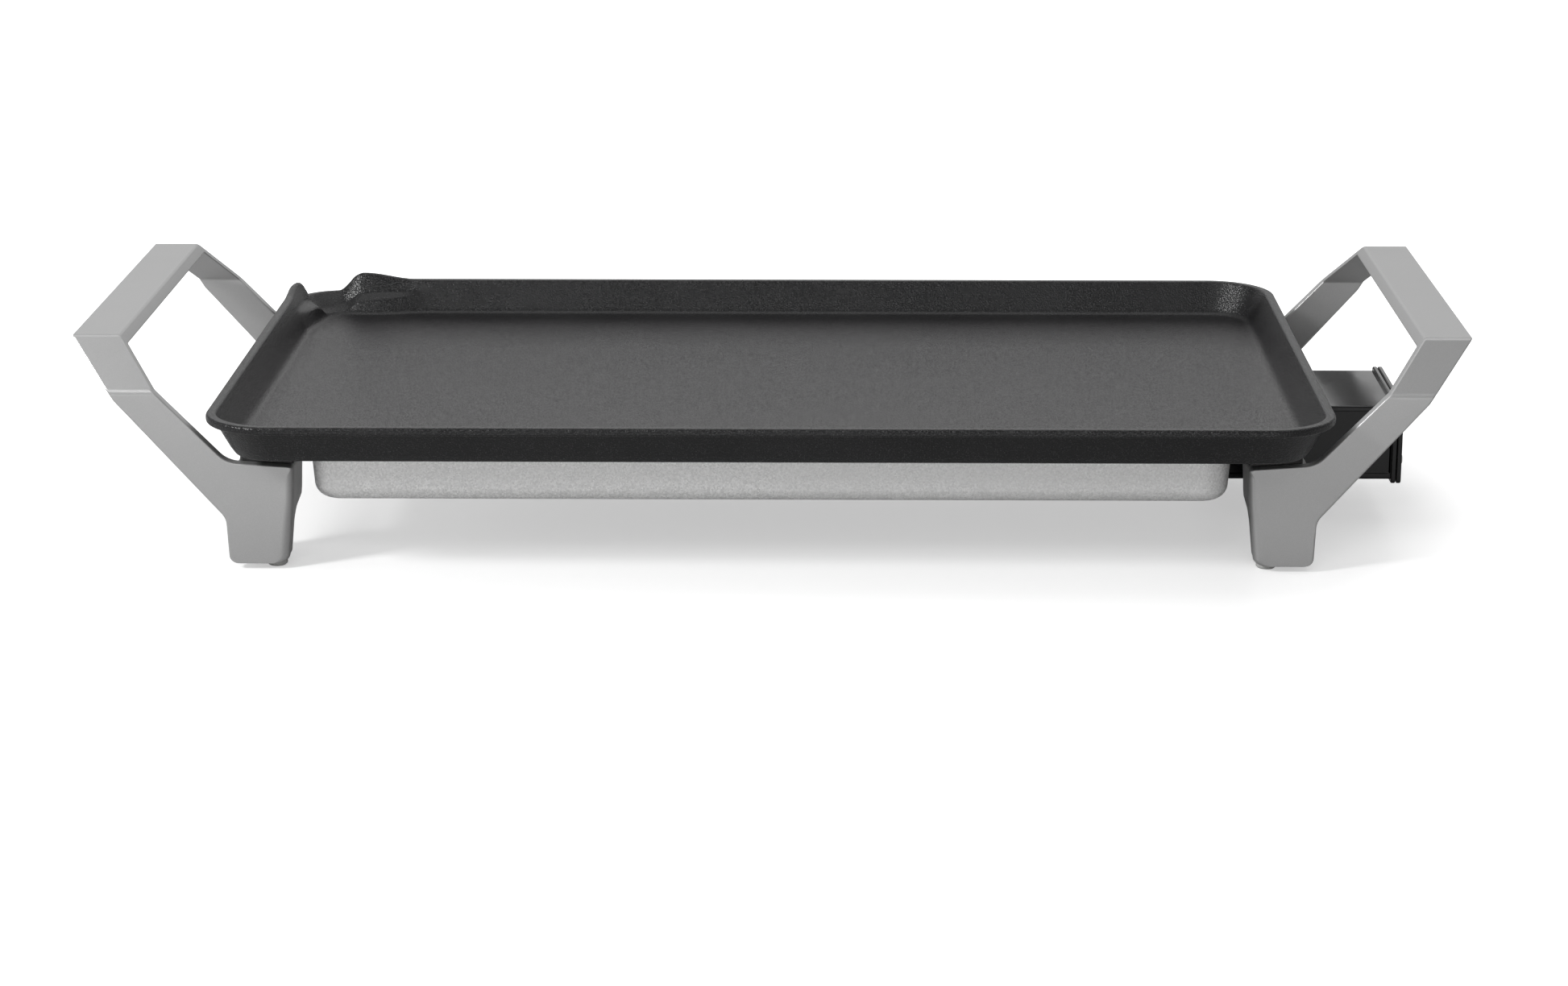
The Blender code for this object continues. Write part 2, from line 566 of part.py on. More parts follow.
def make_socket(finishes):
    """The fixed housing round the pins: a box open at its outer end, with an end rib."""
    z = SOCKET_Z
    half = SOCKET_HALF_Y
    socket = soften(box("socket_housing", SOCKET_X, (-half, half), z, finishes["gloss"]), 1.0)
    rib = soften(box("socket_rib", (RIB_X, SOCKET_X[1]), (-half - RIB_OVER, half + RIB_OVER),
                     (z[0] - RIB_OVER, z[1] + RIB_OVER)), 0.9)
    join(socket, rib)
    wall = SOCKET_WALL
    inside = add_box(bmesh.new(), (SOCKET_X[0] + wall, SOCKET_X[1] + 5.0), (-half + wall, half - wall),
                     (z[0] + wall, z[1] - wall))
    cut(socket, add_object("socket_inside", inside))
    panels = bmesh.new()
    for sy in (-1, 1):
        add_box(panels, (SOCKET_X[0] + 3.0, RIB_X - 0.2), sorted((sy * (half - 0.8), sy * (half + 5.0))),
                (z[0] + 3.4, z[1] - 3.0))
    cut(socket, add_object("socket_side_panels", panels))
    holes = bmesh.new()
    for y in (-PIN_Y, PIN_Y):
        add_turning(holes, rod(5.8, 245.0, 256.0), "X", (0.0, y, PIN_Z), 16)
    for y in (-SOCKET_SCREW_Y, SOCKET_SCREW_Y):
        add_turning(holes, rod(2.0, 245.0, 256.0), "X", (0.0, y, SOCKET_SCREW_Z), 12)
    add_turning(holes, rod(3.4, 245.0, 256.0), "X", (0.0, 0.0, PROBE_Z), 16)
    cut(socket, add_object("socket_holes", holes))

    head_x = SOCKET_X[0] + wall + GAP
    for name, y in (("front", -SOCKET_SCREW_Y), ("rear", SOCKET_SCREW_Y)):
        at = (head_x, y, SOCKET_SCREW_Z)
        profile = [(radius, -height) for radius, height in screw_profile(3.6, 2.2, 1.6, 13.6)]
        turning(f"socket_screw_{name}", profile, "X", at, finishes["bright"], 10)
        nut = add_turning(bmesh.new(), tube(1.95, 3.6, 239.4, 242.4), "X", (0.0, y, SOCKET_SCREW_Z), 6)
        add_object(f"socket_nut_{name}", nut, finishes["bright"])


# ---------------------------------------------------------------- plug-in control

def make_shell(name, z, open_up, finishes):
    """Half of the control's case: a tray with a screw boss, open towards the bezel."""
    half = SHELL_HALF_Y
    shell = soften(box(name, SHELL_X, (-half, half), z, finishes["gloss"]), 0.8)
    wall = SHELL_WALL
    inner_z = (z[0] + wall, z[1] + 3.0) if open_up else (z[0] - 3.0, z[1] - wall)
    inside = add_box(bmesh.new(), (SHELL_X[0] + wall, SHELL_X[1] + 3.0), (-half + wall, half - wall), inner_z)
    cut(shell, add_object(f"{name}_inside", inside))
    return shell


def make_case(finishes):
    """Upper and lower shells, the bezel with its dial well, and two screws."""
    lower = make_shell("control_shell_lower", (SHELL_Z[0], SHELL_SPLIT_Z - GAP / 2), True, finishes)
    upper = make_shell("control_shell_upper", (SHELL_SPLIT_Z + GAP / 2, SHELL_Z[1]), False, finishes)
    for shell, (y, z) in zip((lower, upper), BEZEL_SCREWS):
        side = math.copysign(1.0, y)
        boss = box(f"{shell.name}_boss", (338.0, SHELL_X[1] - 0.2),
                   sorted((y - side * 3.6, side * (SHELL_HALF_Y - 1.0))), (z - 3.6, z + 3.6))
        join(shell, boss)
        hole = add_turning(bmesh.new(), rod(1.5, 340.0, 352.0), "X", (0.0, y, z), 12)
        cut(shell, add_object(f"{shell.name}_boss_hole", hole))
    openings = bmesh.new()
    for y in (-PIN_Y, PIN_Y):
        add_turning(openings, rod(3.2, 260.0, 268.0), "X", (0.0, y, PIN_Z), 16)
    add_turning(openings, rod(PROBE_R + GAP, 260.0, 268.0), "X", (0.0, 0.0, PROBE_Z), 16)
    cut(upper, add_object("case_openings", openings))

    half, over = SOCKET_HALF_Y, RIB_OVER
    bezel = soften(box("control_bezel", BEZEL_X, (-half - over, half + over),
                       (SOCKET_Z[0] - over, SOCKET_Z[1] + over), finishes["gloss"]), 0.9)
    dial = (0.0, *DIAL_AT)
    cup = add_turning(bmesh.new(), rod(WELL_R + 1.2, 342.0, 350.5), "X", dial, 28)
    join(bezel, add_object("dial_cup", cup))
    cut(bezel, add_object("dial_well", add_turning(bmesh.new(), rod(WELL_R, 343.6, 360.0), "X", dial, 28)))
    holes = add_turning(bmesh.new(), rod(3.5, 335.0, 350.0), "X", dial, 16)
    add_turning(holes, rod(3.4, 345.0, 360.0), "X", (0.0, *LAMP_AT), 16)
    add_turning(holes, rod(5.3, 345.0, 360.0), "X", (0.0, *GLAND_AT), 16)
    for y, z in BEZEL_SCREWS:
        add_turning(holes, rod(1.7, 345.0, 360.0), "X", (0.0, y, z), 12)
    cut(bezel, add_object("bezel_holes", holes))
    for name, (y, z) in zip(("lower", "upper"), BEZEL_SCREWS):
        profile = [(radius, -height) for radius, height in screw_profile(2.9, 1.4, 1.2, 11.0)]
        turning(f"bezel_screw_{name}", profile, "X", (BEZEL_X[1] + GAP, y, z), finishes["bright"], 10)


def make_dial(finishes):
    """Knob with a grip ridge, on a spindle that carries the cam."""
    y, z = DIAL_AT
    profile = [(0.0, DIAL_X[0]), (DIAL_R - 1.0, DIAL_X[0]), (DIAL_R, DIAL_X[0] + 1.0), (DIAL_R, DIAL_X[1] - 5.0),
               (DIAL_R - 1.2, DIAL_X[1] - 4.0), (0.0, DIAL_X[1] - 4.0)]
    knob = turning("dial_knob", profile, "X", (0.0, y, z), finishes["matte"], 28)
    ridge = soften(box("dial_ridge", (DIAL_X[1] - 6.0, DIAL_X[1]), (y - 3.4, y + 3.4),
                       (z - DIAL_R + 2.0, z + DIAL_R - 2.0)), 1.4)
    join(knob, ridge)
    socket = add_turning(bmesh.new(), rod(2.4, 340.0, 350.5), "X", (0.0, y, z), 14)
    cut(knob, add_object("dial_socket", socket))
    shaft = [(0.0, 321.5), (3.0, 321.5), (3.0, 342.6), (2.1, 342.8), (2.1, 350.2), (0.0, 350.2)]
    spindle = turning("dial_spindle", shaft, "X", (0.0, y, z), finishes["brass"], 12)
    cam = add_turning(bmesh.new(), rod(4.2, 323.0, 328.0), "X", (0.0, y, z + 1.3), 18)
    join(spindle, add_object("spindle_cam", cam))
    set_origin((DIAL_X[0], y, z), knob, spindle)


def set_origin(point, *pieces):
    """Put the pieces' origins on a point of their joint's axis, with their shapes left in place."""
    point = Vector(point) * MM
    for piece in pieces:
        piece.data.transform(Matrix.Translation(-point))
        piece.location = point


def make_works(finishes):
    """Probe, terminals, contacts, lamp and gland inside the control."""
    turning("sensor_probe", [(0.0, PROBE_TIP_X), (1.4, PROBE_TIP_X + 0.5), (PROBE_R, PROBE_TIP_X + 2.2),
                             (PROBE_R, 296.0), (0.0, 296.0)], "X", (0.0, 0.0, PROBE_Z), finishes["bright"], 12)
    block = box("terminal_block", (267.0, 289.0), (-24.0, 24.0), (PIN_Z - 4.5, PIN_Z + 5.0), finishes["ceramic"])
    bores = bmesh.new()
    for y in (-PIN_Y, PIN_Y):
        add_turning(bores, rod(3.9, 260.0, 295.0), "X", (0.0, y, PIN_Z), 16)
    cut(block, add_object("terminal_bores", bores))
    for side, y in (("front", -PIN_Y), ("rear", PIN_Y)):
        turning(f"terminal_sleeve_{side}", tube(2.4, 3.6, 268.0, 290.5), "X", (0.0, y, PIN_Z),
                finishes["brass"], 12)

    y, z = DIAL_AT
    bracket_outline = [(312.0, 30.0), (333.5, 30.0), (333.5, 56.0), (332.0, 56.0), (332.0, 31.5), (312.0, 31.5)]
    bracket = add_object("thermostat_bracket", add_prism(bmesh.new(), bracket_outline, "Y", y - 14.0, y + 14.0),
                         finishes["bright"])
    cut(bracket, add_object("bracket_hole", add_turning(bmesh.new(), rod(3.4, 328.0, 338.0), "X", (0.0, y, z), 16)))
    box("contact_stack", (291.5, LEAF_ROOT_X - GAP), (y - 5.0, y + 5.0), (30.0, 44.0), finishes["ceramic"])
    for name, leaf_z, button in (("fixed", (35.0, 35.6), (35.4, 36.8)), ("moving", (39.0, 39.6), (37.8, 39.2))):
        leaf = box(f"contact_leaf_{name}", (LEAF_ROOT_X, LEAF_TIP_X), (y - 3.5, y + 3.5), leaf_z, finishes["brass"])
        dot = add_turning(bmesh.new(), rod(1.6, *button), "Z", (325.0, y, 0.0), 14)
        join(leaf, add_object(f"{name}_contact", dot))
    set_origin((LEAF_ROOT_X, y, 39.3), bpy.data.objects["contact_leaf_moving"])

    turning("pilot_lamp", [(0.0, 334.0), (1.6, 334.5), (2.5, 336.0), (2.5, 345.5), (1.4, 347.0), (0.0, 347.4)],
            "X", (0.0, *LAMP_AT), finishes["glass"], 10)
    turning("pilot_lens", [(0.0, 348.4), (3.0, 348.4), (3.0, 353.2), (2.2, 354.2), (0.0, 354.6)],
            "X", (0.0, *LAMP_AT), finishes["amber"], 12)
    turning("cord_gland", [(3.2, 348.6), (5.0, 348.6), (5.0, BEZEL_X[1] + GAP), (6.4, BEZEL_X[1] + GAP),
                           (6.4, 354.6), (5.6, 355.4), (3.2, 355.4)],
            "X", (0.0, *GLAND_AT), finishes["matte"], 14)


def main():
    clear_scene()
    finishes = make_finishes()
    make_plate(finishes)
    make_element(finishes)
    make_clamps(finishes)
    make_shield(finishes)
    make_frame("handle_frame_left", -1, finishes)
    make_frame("handle_frame_right", 1, finishes)
    make_leg_fittings(finishes)
    make_socket(finishes)
    make_case(finishes)
    make_dial(finishes)
    make_works(finishes)


main()
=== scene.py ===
"""Looks of the electric table griddle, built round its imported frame."""
import math

import bmesh
import bpy
import numpy as np
from bpy.props import FloatProperty, FloatVectorProperty, IntProperty, PointerProperty
from mathutils import Matrix, Vector


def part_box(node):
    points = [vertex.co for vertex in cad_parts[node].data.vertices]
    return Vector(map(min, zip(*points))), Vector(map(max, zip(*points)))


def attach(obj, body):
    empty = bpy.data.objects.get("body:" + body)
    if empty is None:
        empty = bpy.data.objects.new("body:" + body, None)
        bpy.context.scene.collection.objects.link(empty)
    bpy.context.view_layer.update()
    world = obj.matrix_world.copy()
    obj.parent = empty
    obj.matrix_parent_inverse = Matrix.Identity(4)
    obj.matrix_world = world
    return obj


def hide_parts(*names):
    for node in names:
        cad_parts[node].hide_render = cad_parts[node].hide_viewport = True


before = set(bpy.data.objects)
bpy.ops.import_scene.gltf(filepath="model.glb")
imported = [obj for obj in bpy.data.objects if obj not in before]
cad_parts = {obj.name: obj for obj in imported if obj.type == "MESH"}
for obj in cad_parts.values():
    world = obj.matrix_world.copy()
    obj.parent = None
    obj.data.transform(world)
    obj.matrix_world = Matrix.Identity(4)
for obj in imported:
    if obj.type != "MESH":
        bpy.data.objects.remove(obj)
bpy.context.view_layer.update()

bl_info = {
    "name": "Electric Table Griddle",
    "version": (1, 0, 0),
    "blender": (4, 5, 0),
    "location": "View3D > Sidebar > Griddle",
    "description": "Builds the plate, cast frames, heat shield and plug-in control of a table griddle",
    "category": "Add Mesh",
}

MM = 0.001
SIGNS = (-1.0, 1.0)
LEG_NAMES = [(side, end) for side in ("left", "right") for end in ("front", "back")]

# Centres of the holes and screws that several pieces share, in millimetres.
LEG_SCREW_AT = (270.5, 120.0)
SHIELD_SCREW_AT = (150.0, 75.0)
PIN_Y, PIN_Z = 15.0, 50.2
PROBE_Z = 58.4
SOCKET_SCREW_Y, SOCKET_SCREW_Z = 33.0, 46.0
BEZEL_SCREW_AT = {"lower": (-33.0, 34.0), "upper": (33.0, 57.0)}


def span(node):
    """A node's lowest and highest corners in millimetres, as two arrays."""
    low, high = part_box(node)
    return np.array(low) / MM, np.array(high) / MM


# ---------------------------------------------------------------- settings

def length(name, text, value):
    return FloatProperty(name=name, description=text, default=value, min=0.0, unit="LENGTH")


def colour(name, text, value):
    return FloatVectorProperty(name=name, description=text, default=value, min=0.0, max=1.0, size=3,
                               subtype="COLOR")


def power(name, text, value):
    return FloatProperty(name=name, description=text, default=value, min=0.0, unit="POWER")


class PlateSettings(bpy.types.PropertyGroup):
    corner_radius: length("Corner radius", "Radius of the rim's corners, seen from above", 0.038)
    spout_drop: length("Spout drop", "How far the pouring lip lies under the rim", 0.0072)
    spout_flare: length("Spout flare", "How far the pouring lip leans out", 0.003)
    spout_turn: length("Spout turn", "How far along the rim the lip's middle lies from the corner's", 0.009)
    spout_ledge: length("Spout ledge", "How far the lower wall stands in at the pouring lip", 0.0045)
    spout_thin: length("Spout thinning", "How much the rim thins at the pouring lip", 0.0016)
    horn_rise: length("Horn rise", "How far the rim rises beside the pouring lip", 0.0038)
    coating: colour("Coating", "Colour of the non-stick coating", (0.0065, 0.0065, 0.0069))


class CastingSettings(bpy.types.PropertyGroup):
    edge_round: length("Edge round", "Radius of the casting's edges", 0.0012)
    leg_round: length("Leg round", "Radius of the legs' inner upright edge", 0.0055)
    paint: colour("Paint", "Colour of the satin paint", (0.435, 0.435, 0.435))


class ShieldSettings(bpy.types.PropertyGroup):
    corner_radius: length("Corner radius", "Radius of the tray's corners, seen from above", 0.017)
    sheet: colour("Sheet", "Colour of the aluminised sheet", (0.86, 0.86, 0.855))


class ControlSettings(bpy.types.PropertyGroup):
    plastic: colour("Plastic", "Colour of the gloss plastic", (0.0025, 0.0025, 0.003))
    flutes: IntProperty(name="Flutes", description="Number of grip flutes round the dial", default=36,
                        min=8, max=90)


class StageSettings(bpy.types.PropertyGroup):
    ground: colour("Ground", "Colour of the floor", (0.80, 0.80, 0.80))
    glow: FloatProperty(name="Glow", description="Light given off by the floor round the griddle",
                        default=0.46, min=0.0)
    bounce: FloatProperty(name="Bounce", description="Share of the floor's colour that lights the griddle",
                          default=0.66, min=0.0, max=1.0)
    sky: FloatProperty(name="Sky", description="Brightness of the even light from all sides", default=0.34,
                       min=0.0)
    top_power: power("Top power", "Power of the broad light overhead", 14.5)
    key_power: power("Key power", "Power of the small light at the left", 38.0)
    fill_power: power("Fill power", "Power of the broad light in front", 9.0)
    back_power: power("Back power", "Power of the long card behind the griddle", 5.3)
    side_power: power("Side power", "Power of the tall light at the left", 3.0)
    low_power: power("Low power", "Power of the long low card in front", 0.85)


# ---------------------------------------------------------------- mesh tools

def smoothstep(low, high, value):
    """0 below low, 1 above high, and 3t^2 - 2t^3 between them."""
    t = np.clip((np.asarray(value, float) - low) / (high - low), 0.0, 1.0)
    return t * t * (3.0 - 2.0 * t)


def filleted(points, radii, steps=8, closed=False):
    """A polyline in the plane with each corner turned on an arc of its own radius.

    The arc touches both sides at radius / tan(half the corner's angle) from the corner; a radius of 0
    keeps the corner itself.
    """
    points = [np.array(point, float) for point in points]
    count = len(points)
    out = []
    for i in range(count):
        corner, radius = points[i], radii[i]
        if radius <= 0.0 or (not closed and i in (0, count - 1)):
            out.append(corner[None])
            continue
        back = points[i - 1] - corner
        ahead = points[(i + 1) % count] - corner
        back, ahead = back / np.linalg.norm(back), ahead / np.linalg.norm(ahead)
        half = math.acos(np.clip(back @ ahead, -1.0, 1.0)) / 2.0
        centre = corner + (back + ahead) / np.linalg.norm(back + ahead) * radius / math.sin(half)
        first = corner + back * radius / math.tan(half) - centre
        last = corner + ahead * radius / math.tan(half) - centre
        sweep = math.pi - 2.0 * half
        t = np.linspace(0.0, sweep, steps + 1)[:, None]
        out.append(centre + (first * np.sin(sweep - t) + last * np.sin(t)) / math.sin(sweep))
    return np.concatenate(out)


def resampled(points, count):
    """count points spaced evenly along a polyline, ends included."""
    points = np.asarray(points, float)
    run = np.concatenate([[0.0], np.cumsum(np.linalg.norm(np.diff(points, axis=0), axis=1))])
    at = np.linspace(0.0, run[-1], count)
    return np.stack([np.interp(at, run, points[:, k]) for k in range(points.shape[1])], axis=1)


def rectangle_outline(half_a, half_b, radius, steps=10):
    """A rounded rectangle about 0, anticlockwise: corner centres plus radius times the unit circle."""
    angle = np.radians(np.arange(-90, 270, 90)[:, None] + np.linspace(0.0, 90.0, steps + 1)[None])
    sign_a = np.array([1, 1, -1, -1])[:, None]
    sign_b = np.array([-1, 1, 1, -1])[:, None]
    a = sign_a * (half_a - radius) + radius * np.cos(angle)
    b = sign_b * (half_b - radius) + radius * np.sin(angle)
    return np.stack([a.ravel(), b.ravel()], axis=1)


def grid_faces(rows, columns):
    """Quads of a grid whose columns close into a ring and whose rows stay open."""
    i, j = np.meshgrid(np.arange(rows - 1), np.arange(columns), indexing="ij")
    k = (j + 1) % columns
    here, above = i * columns, (i + 1) * columns
    return np.stack([here + j, here + k, above + k, above + j], axis=-1).reshape(-1, 4)


def add_piece(name, vertices, faces, material, sharp=35.0):
    """Make an object from points in millimetres and put its one material on it."""
    mesh = bpy.data.meshes.new(name)
    mesh.from_pydata((np.asarray(vertices, float) * MM).tolist(), [], faces)
    mesh.validate()
    piece = bpy.data.objects.new(name, mesh)
    bpy.context.scene.collection.objects.link(piece)
    face_outwards(mesh)
    mesh.shade_smooth()
    mesh.set_sharp_from_angle(angle=math.radians(sharp))
    mesh.materials.append(material)
    return piece


def face_outwards(mesh):
    """Turn every closed shell's faces out."""
    bm = bmesh.new()
    bm.from_mesh(mesh)
    bmesh.ops.remove_doubles(bm, verts=bm.verts, dist=1e-7)
    bmesh.ops.recalc_face_normals(bm, faces=bm.faces)
    bm.to_mesh(mesh)
    bm.free()


def lofted(rings, first_cap=True, last_cap=True):
    """Vertices and faces of rings joined in order; each end is closed by one flat face."""
    rings = np.asarray(rings, float)
    rows, columns = rings.shape[:2]
    faces = grid_faces(rows, columns).tolist()
    if first_cap:
        faces.append(list(range(columns))[::-1])
    if last_cap:
        faces.append(list(range((rows - 1) * columns, rows * columns)))
    return rings.reshape(-1, 3), faces


def merged(parts):
    """Several (vertices, faces) pairs as one."""
    vertices, faces, base = [], [], 0
    for part_vertices, part_faces in parts:
        vertices.append(np.asarray(part_vertices, float))
        faces += [[index + base for index in face] for face in part_faces]
        base += len(part_vertices)
    return np.concatenate(vertices), faces


def along_axis(flat, height, axis):
    """Points (a, b) at a height along X, Y or Z: the plane is (Y, Z), (X, Z) or (X, Y)."""
    a, b = flat[..., 0], flat[..., 1]
    height = np.broadcast_to(height, a.shape)
    order = {"X": (height, a, b), "Y": (a, height, b), "Z": (a, b, height)}[axis]
    return np.stack(order, axis=-1)


def turned(profile, axis, centre, steps=48):
    """A surface of revolution: each profile point (radius, height) swept round the axis through centre.

    A point on the axis becomes a pole, because its ring's points are merged. A profile with both ends off
    the axis is closed into a ring.
    """
    profile = np.asarray(profile, float)
    angle = np.linspace(0.0, math.tau, steps, endpoint=False)
    circle = np.stack([np.cos(angle), np.sin(angle)], axis=-1)
    flat = profile[:, 0, None, None] * circle[None]
    rings = along_axis(flat, profile[:, 1, None], axis) + np.asarray(centre, float)
    if profile[0, 0] > 0.0 and profile[-1, 0] > 0.0:
        rings = np.concatenate([rings, rings[:1]])
    return lofted(rings, False, False)


def drilled(radius, start, end, axis, centre, steps=24):
    """A plain cylinder between two heights along the axis, for a hole or a boss."""
    return turned([(0, start), (radius, start), (radius, end), (0, end)], axis, centre, steps)


def rounded_turning(points, radii, axis, centre, steps=48, fine=5):
    """A surface of revolution of a profile with filleted corners."""
    ring = points[0][0] > 0.0 and points[-1][0] > 0.0
    return turned(filleted(points, radii, fine, closed=ring), axis, centre, steps)


def bevelled(piece, width, segments=4, angle=28.0):
    """Round the piece's sharp edges, and weight its normals by face area."""
    bevel = piece.modifiers.new("round", "BEVEL")
    bevel.width = width
    bevel.segments = segments
    bevel.limit_method = "ANGLE"
    bevel.angle_limit = math.radians(angle)
    weighted(piece)


def weighted(piece, sharp=None):
    """Weight the normals by face area; with an angle, mark the edges over it sharp first."""
    if sharp is not None:
        piece.data.set_sharp_from_angle(angle=math.radians(sharp))
    normals = piece.modifiers.new("normals", "WEIGHTED_NORMAL")
    normals.keep_sharp = False
    normals.weight = 60


def applied(piece):
    """Apply the piece's modifiers to its mesh."""
    graph = bpy.context.evaluated_depsgraph_get()
    mesh = bpy.data.meshes.new_from_object(piece.evaluated_get(graph))
    piece.modifiers.clear()
    old = piece.data
    piece.data = mesh
    bpy.data.meshes.remove(old)


def carve(piece, tools):
    """Join or cut the piece with each (tool, operation), and remove the tools."""
    for tool, operation in tools:
        modifier = piece.modifiers.new(operation, "BOOLEAN")
        modifier.operation = operation
        modifier.solver = "EXACT"
        modifier.use_self = True
        modifier.object = tool
    applied(piece)
    for tool, _ in tools:
        bpy.data.objects.remove(tool, do_unlink=True)


def block(x, y, z):
    """Vertices and faces of a box between the given X, Y and Z pairs."""
    low, high = min(z), max(z)
    flat = np.array([[x[0], y[0]], [x[1], y[0]], [x[1], y[1]], [x[0], y[1]]], float)
    return lofted([along_axis(flat, low, "Z"), along_axis(flat, high, "Z")])


def prism(outline, axis, start, end):
    """Vertices and faces of an outline carried straight along an axis."""
    outline = np.asarray(outline, float)
    return lofted([along_axis(outline, start, axis), along_axis(outline, end, axis)])


def place(piece, body, slot, *nodes):
    """Ride on a body and stand for the CAD nodes; the slot is not used."""
    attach(piece, body)
    if nodes:
        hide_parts(*nodes)


# ---------------------------------------------------------------- shader tools

def new_group(name, inputs, outputs):
    """An empty shader node group with float inputs {name: default} and named float outputs."""
    group = bpy.data.node_groups.new(name, "ShaderNodeTree")
    for label, default in inputs.items():
        socket = group.interface.new_socket(label, in_out="INPUT", socket_type="NodeSocketFloat")
        socket.default_value = default
    for label in outputs:
        group.interface.new_socket(label, in_out="OUTPUT", socket_type="NodeSocketFloat")
    return group, group.nodes.new("NodeGroupInput"), group.nodes.new("NodeGroupOutput")


def node(tree, kind, inputs=None, **settings):
    """Add a node, set its properties, then set or link its inputs."""
    made = tree.nodes.new(kind)
    for label, value in settings.items():
        setattr(made, label, value)
    for label, value in (inputs or {}).items():
        socket = made.inputs[label]
        if isinstance(value, bpy.types.NodeSocket):
            tree.links.new(value, socket)
        else:
            socket.default_value = value
    return made


def object_place(tree):
    return tree.nodes.new("ShaderNodeTexCoord").outputs["Object"]


def math_node(tree, operation, a, b):
    return node(tree, "ShaderNodeMath", {0: a, 1: b}, operation=operation).outputs[0]


def multiply_add(tree, value, factor, base):
    return node(tree, "ShaderNodeMath", {0: value, 1: factor, 2: base}, operation="MULTIPLY_ADD").outputs[0]


def ramp_between(tree, value, low, high, to_low=0.0, to_high=1.0):
    """Map value from low..high to to_low..to_high, clamped and smoothed."""
    ends = {"Value": value, "From Min": low, "From Max": high, "To Min": to_low, "To Max": to_high}
    return node(tree, "ShaderNodeMapRange", ends, interpolation_type="SMOOTHSTEP").outputs["Result"]


def mixed(tree, factor, a, b):
    """Mix two colours; each is a socket or three numbers."""
    a, b = ((*part, 1.0) if isinstance(part, tuple) else part for part in (a, b))
    return node(tree, "ShaderNodeMix", {0: factor, 6: a, 7: b}, data_type="RGBA").outputs[2]


def tinted(tree, tone, mask, share, tint):
    """Mix a share of a tint into the tone where the mask is set."""
    return mixed(tree, math_node(tree, "MULTIPLY", mask, share), tone, tint)


def scaled(base, factor, lift=0.0):
    """A colour times a factor plus a lift, held at 1."""
    return tuple(min(1.0, part * factor + lift) for part in base)


def grain_group():
    """Fine grain: a fast noise for bump and roughness, and a slow one for cloudiness."""
    group, given, result = new_group("Fine Grain", {"Grain Scale": 2500.0, "Cloud Scale": 18.0},
                                     ("Grain", "Cloud"))
    where = object_place(group)
    grain = node(group, "ShaderNodeTexNoise", {"Vector": where, "Scale": given.outputs["Grain Scale"],
                                               "Detail": 3.0, "Roughness": 0.6})
    cloud = node(group, "ShaderNodeTexNoise", {"Vector": where, "Scale": given.outputs["Cloud Scale"],
                                               "Detail": 4.0, "Roughness": 0.55})
    group.links.new(grain.outputs["Fac"], result.inputs["Grain"])
    group.links.new(cloud.outputs["Fac"], result.inputs["Cloud"])
    return group


def edge_highlight_group():
    """Painted edge highlight: geometry's pointiness, broken up by noise, as a mask that paints edges paler in
    place of the highlights on rounded edges.
    """
    group, given, result = new_group("Edge Painted Highlight", {"Low": 0.52, "High": 0.58, "Break Scale": 90.0}, ("Painted Highlight",))
    point = group.nodes.new("ShaderNodeNewGeometry").outputs["Pointiness"]
    noise = node(group, "ShaderNodeTexNoise", {"Vector": object_place(group), "Detail": 3.0,
                                               "Scale": given.outputs["Break Scale"]})
    edge = ramp_between(group, point, given.outputs["Low"], given.outputs["High"])
    broken = ramp_between(group, noise.outputs["Fac"], 0.35, 0.65, 0.35, 1.0)
    group.links.new(math_node(group, "MULTIPLY", edge, broken), result.inputs["Painted Highlight"])
    return group


def speckle_group():
    """Speckle: small cells of random value, a few of them bright, as a mask and a height."""
    group, given, result = new_group("Speckle", {"Cell Scale": 900.0, "Share": 0.12}, ("Flake", "Height"))
    cells = node(group, "ShaderNodeTexVoronoi", {"Vector": object_place(group),
                                                 "Scale": given.outputs["Cell Scale"]})
    value = node(group, "ShaderNodeSeparateColor", {"Color": cells.outputs["Color"]}).outputs["Red"]
    threshold = math_node(group, "SUBTRACT", 1.0, given.outputs["Share"])
    flake = math_node(group, "GREATER_THAN", value, threshold)
    core = ramp_between(group, cells.outputs["Distance"], 0.15, 0.45, 1.0, 0.0)
    group.links.new(math_node(group, "MULTIPLY", flake, core), result.inputs["Flake"])
    group.links.new(cells.outputs["Distance"], result.inputs["Height"])
    return group


GROUPS = {}
MATERIALS = {}


def group_node(tree, name, **values):
    """A node of one of the groups; an underscore in a keyword stands for a space in the socket's name."""
    made = tree.nodes.new("ShaderNodeGroup")
    made.node_tree = GROUPS[name]
    for label, value in values.items():
        made.inputs[label.replace("_", " ")].default_value = value
    return made


def new_material(name, roughness, metallic=0.0, **constants):
    """A material with its Principled shader; constants go on the shader's own sockets."""
    material = bpy.data.materials.new(name)
    material.use_nodes = True
    tree = material.node_tree
    shader = tree.nodes["Principled BSDF"]
    shader.inputs["Roughness"].default_value = roughness
    shader.inputs["Metallic"].default_value = metallic
    for label, value in constants.items():
        shader.inputs[label.replace("_", " ")].default_value = value
    return material, tree, shader


def bumped(tree, shader, height, distance, strength=1.0):
    """Feed a height through a Bump node into the shader's normal."""
    bump = node(tree, "ShaderNodeBump", {"Height": height, "Distance": distance, "Strength": strength})
    tree.links.new(bump.outputs["Normal"], shader.inputs["Normal"])


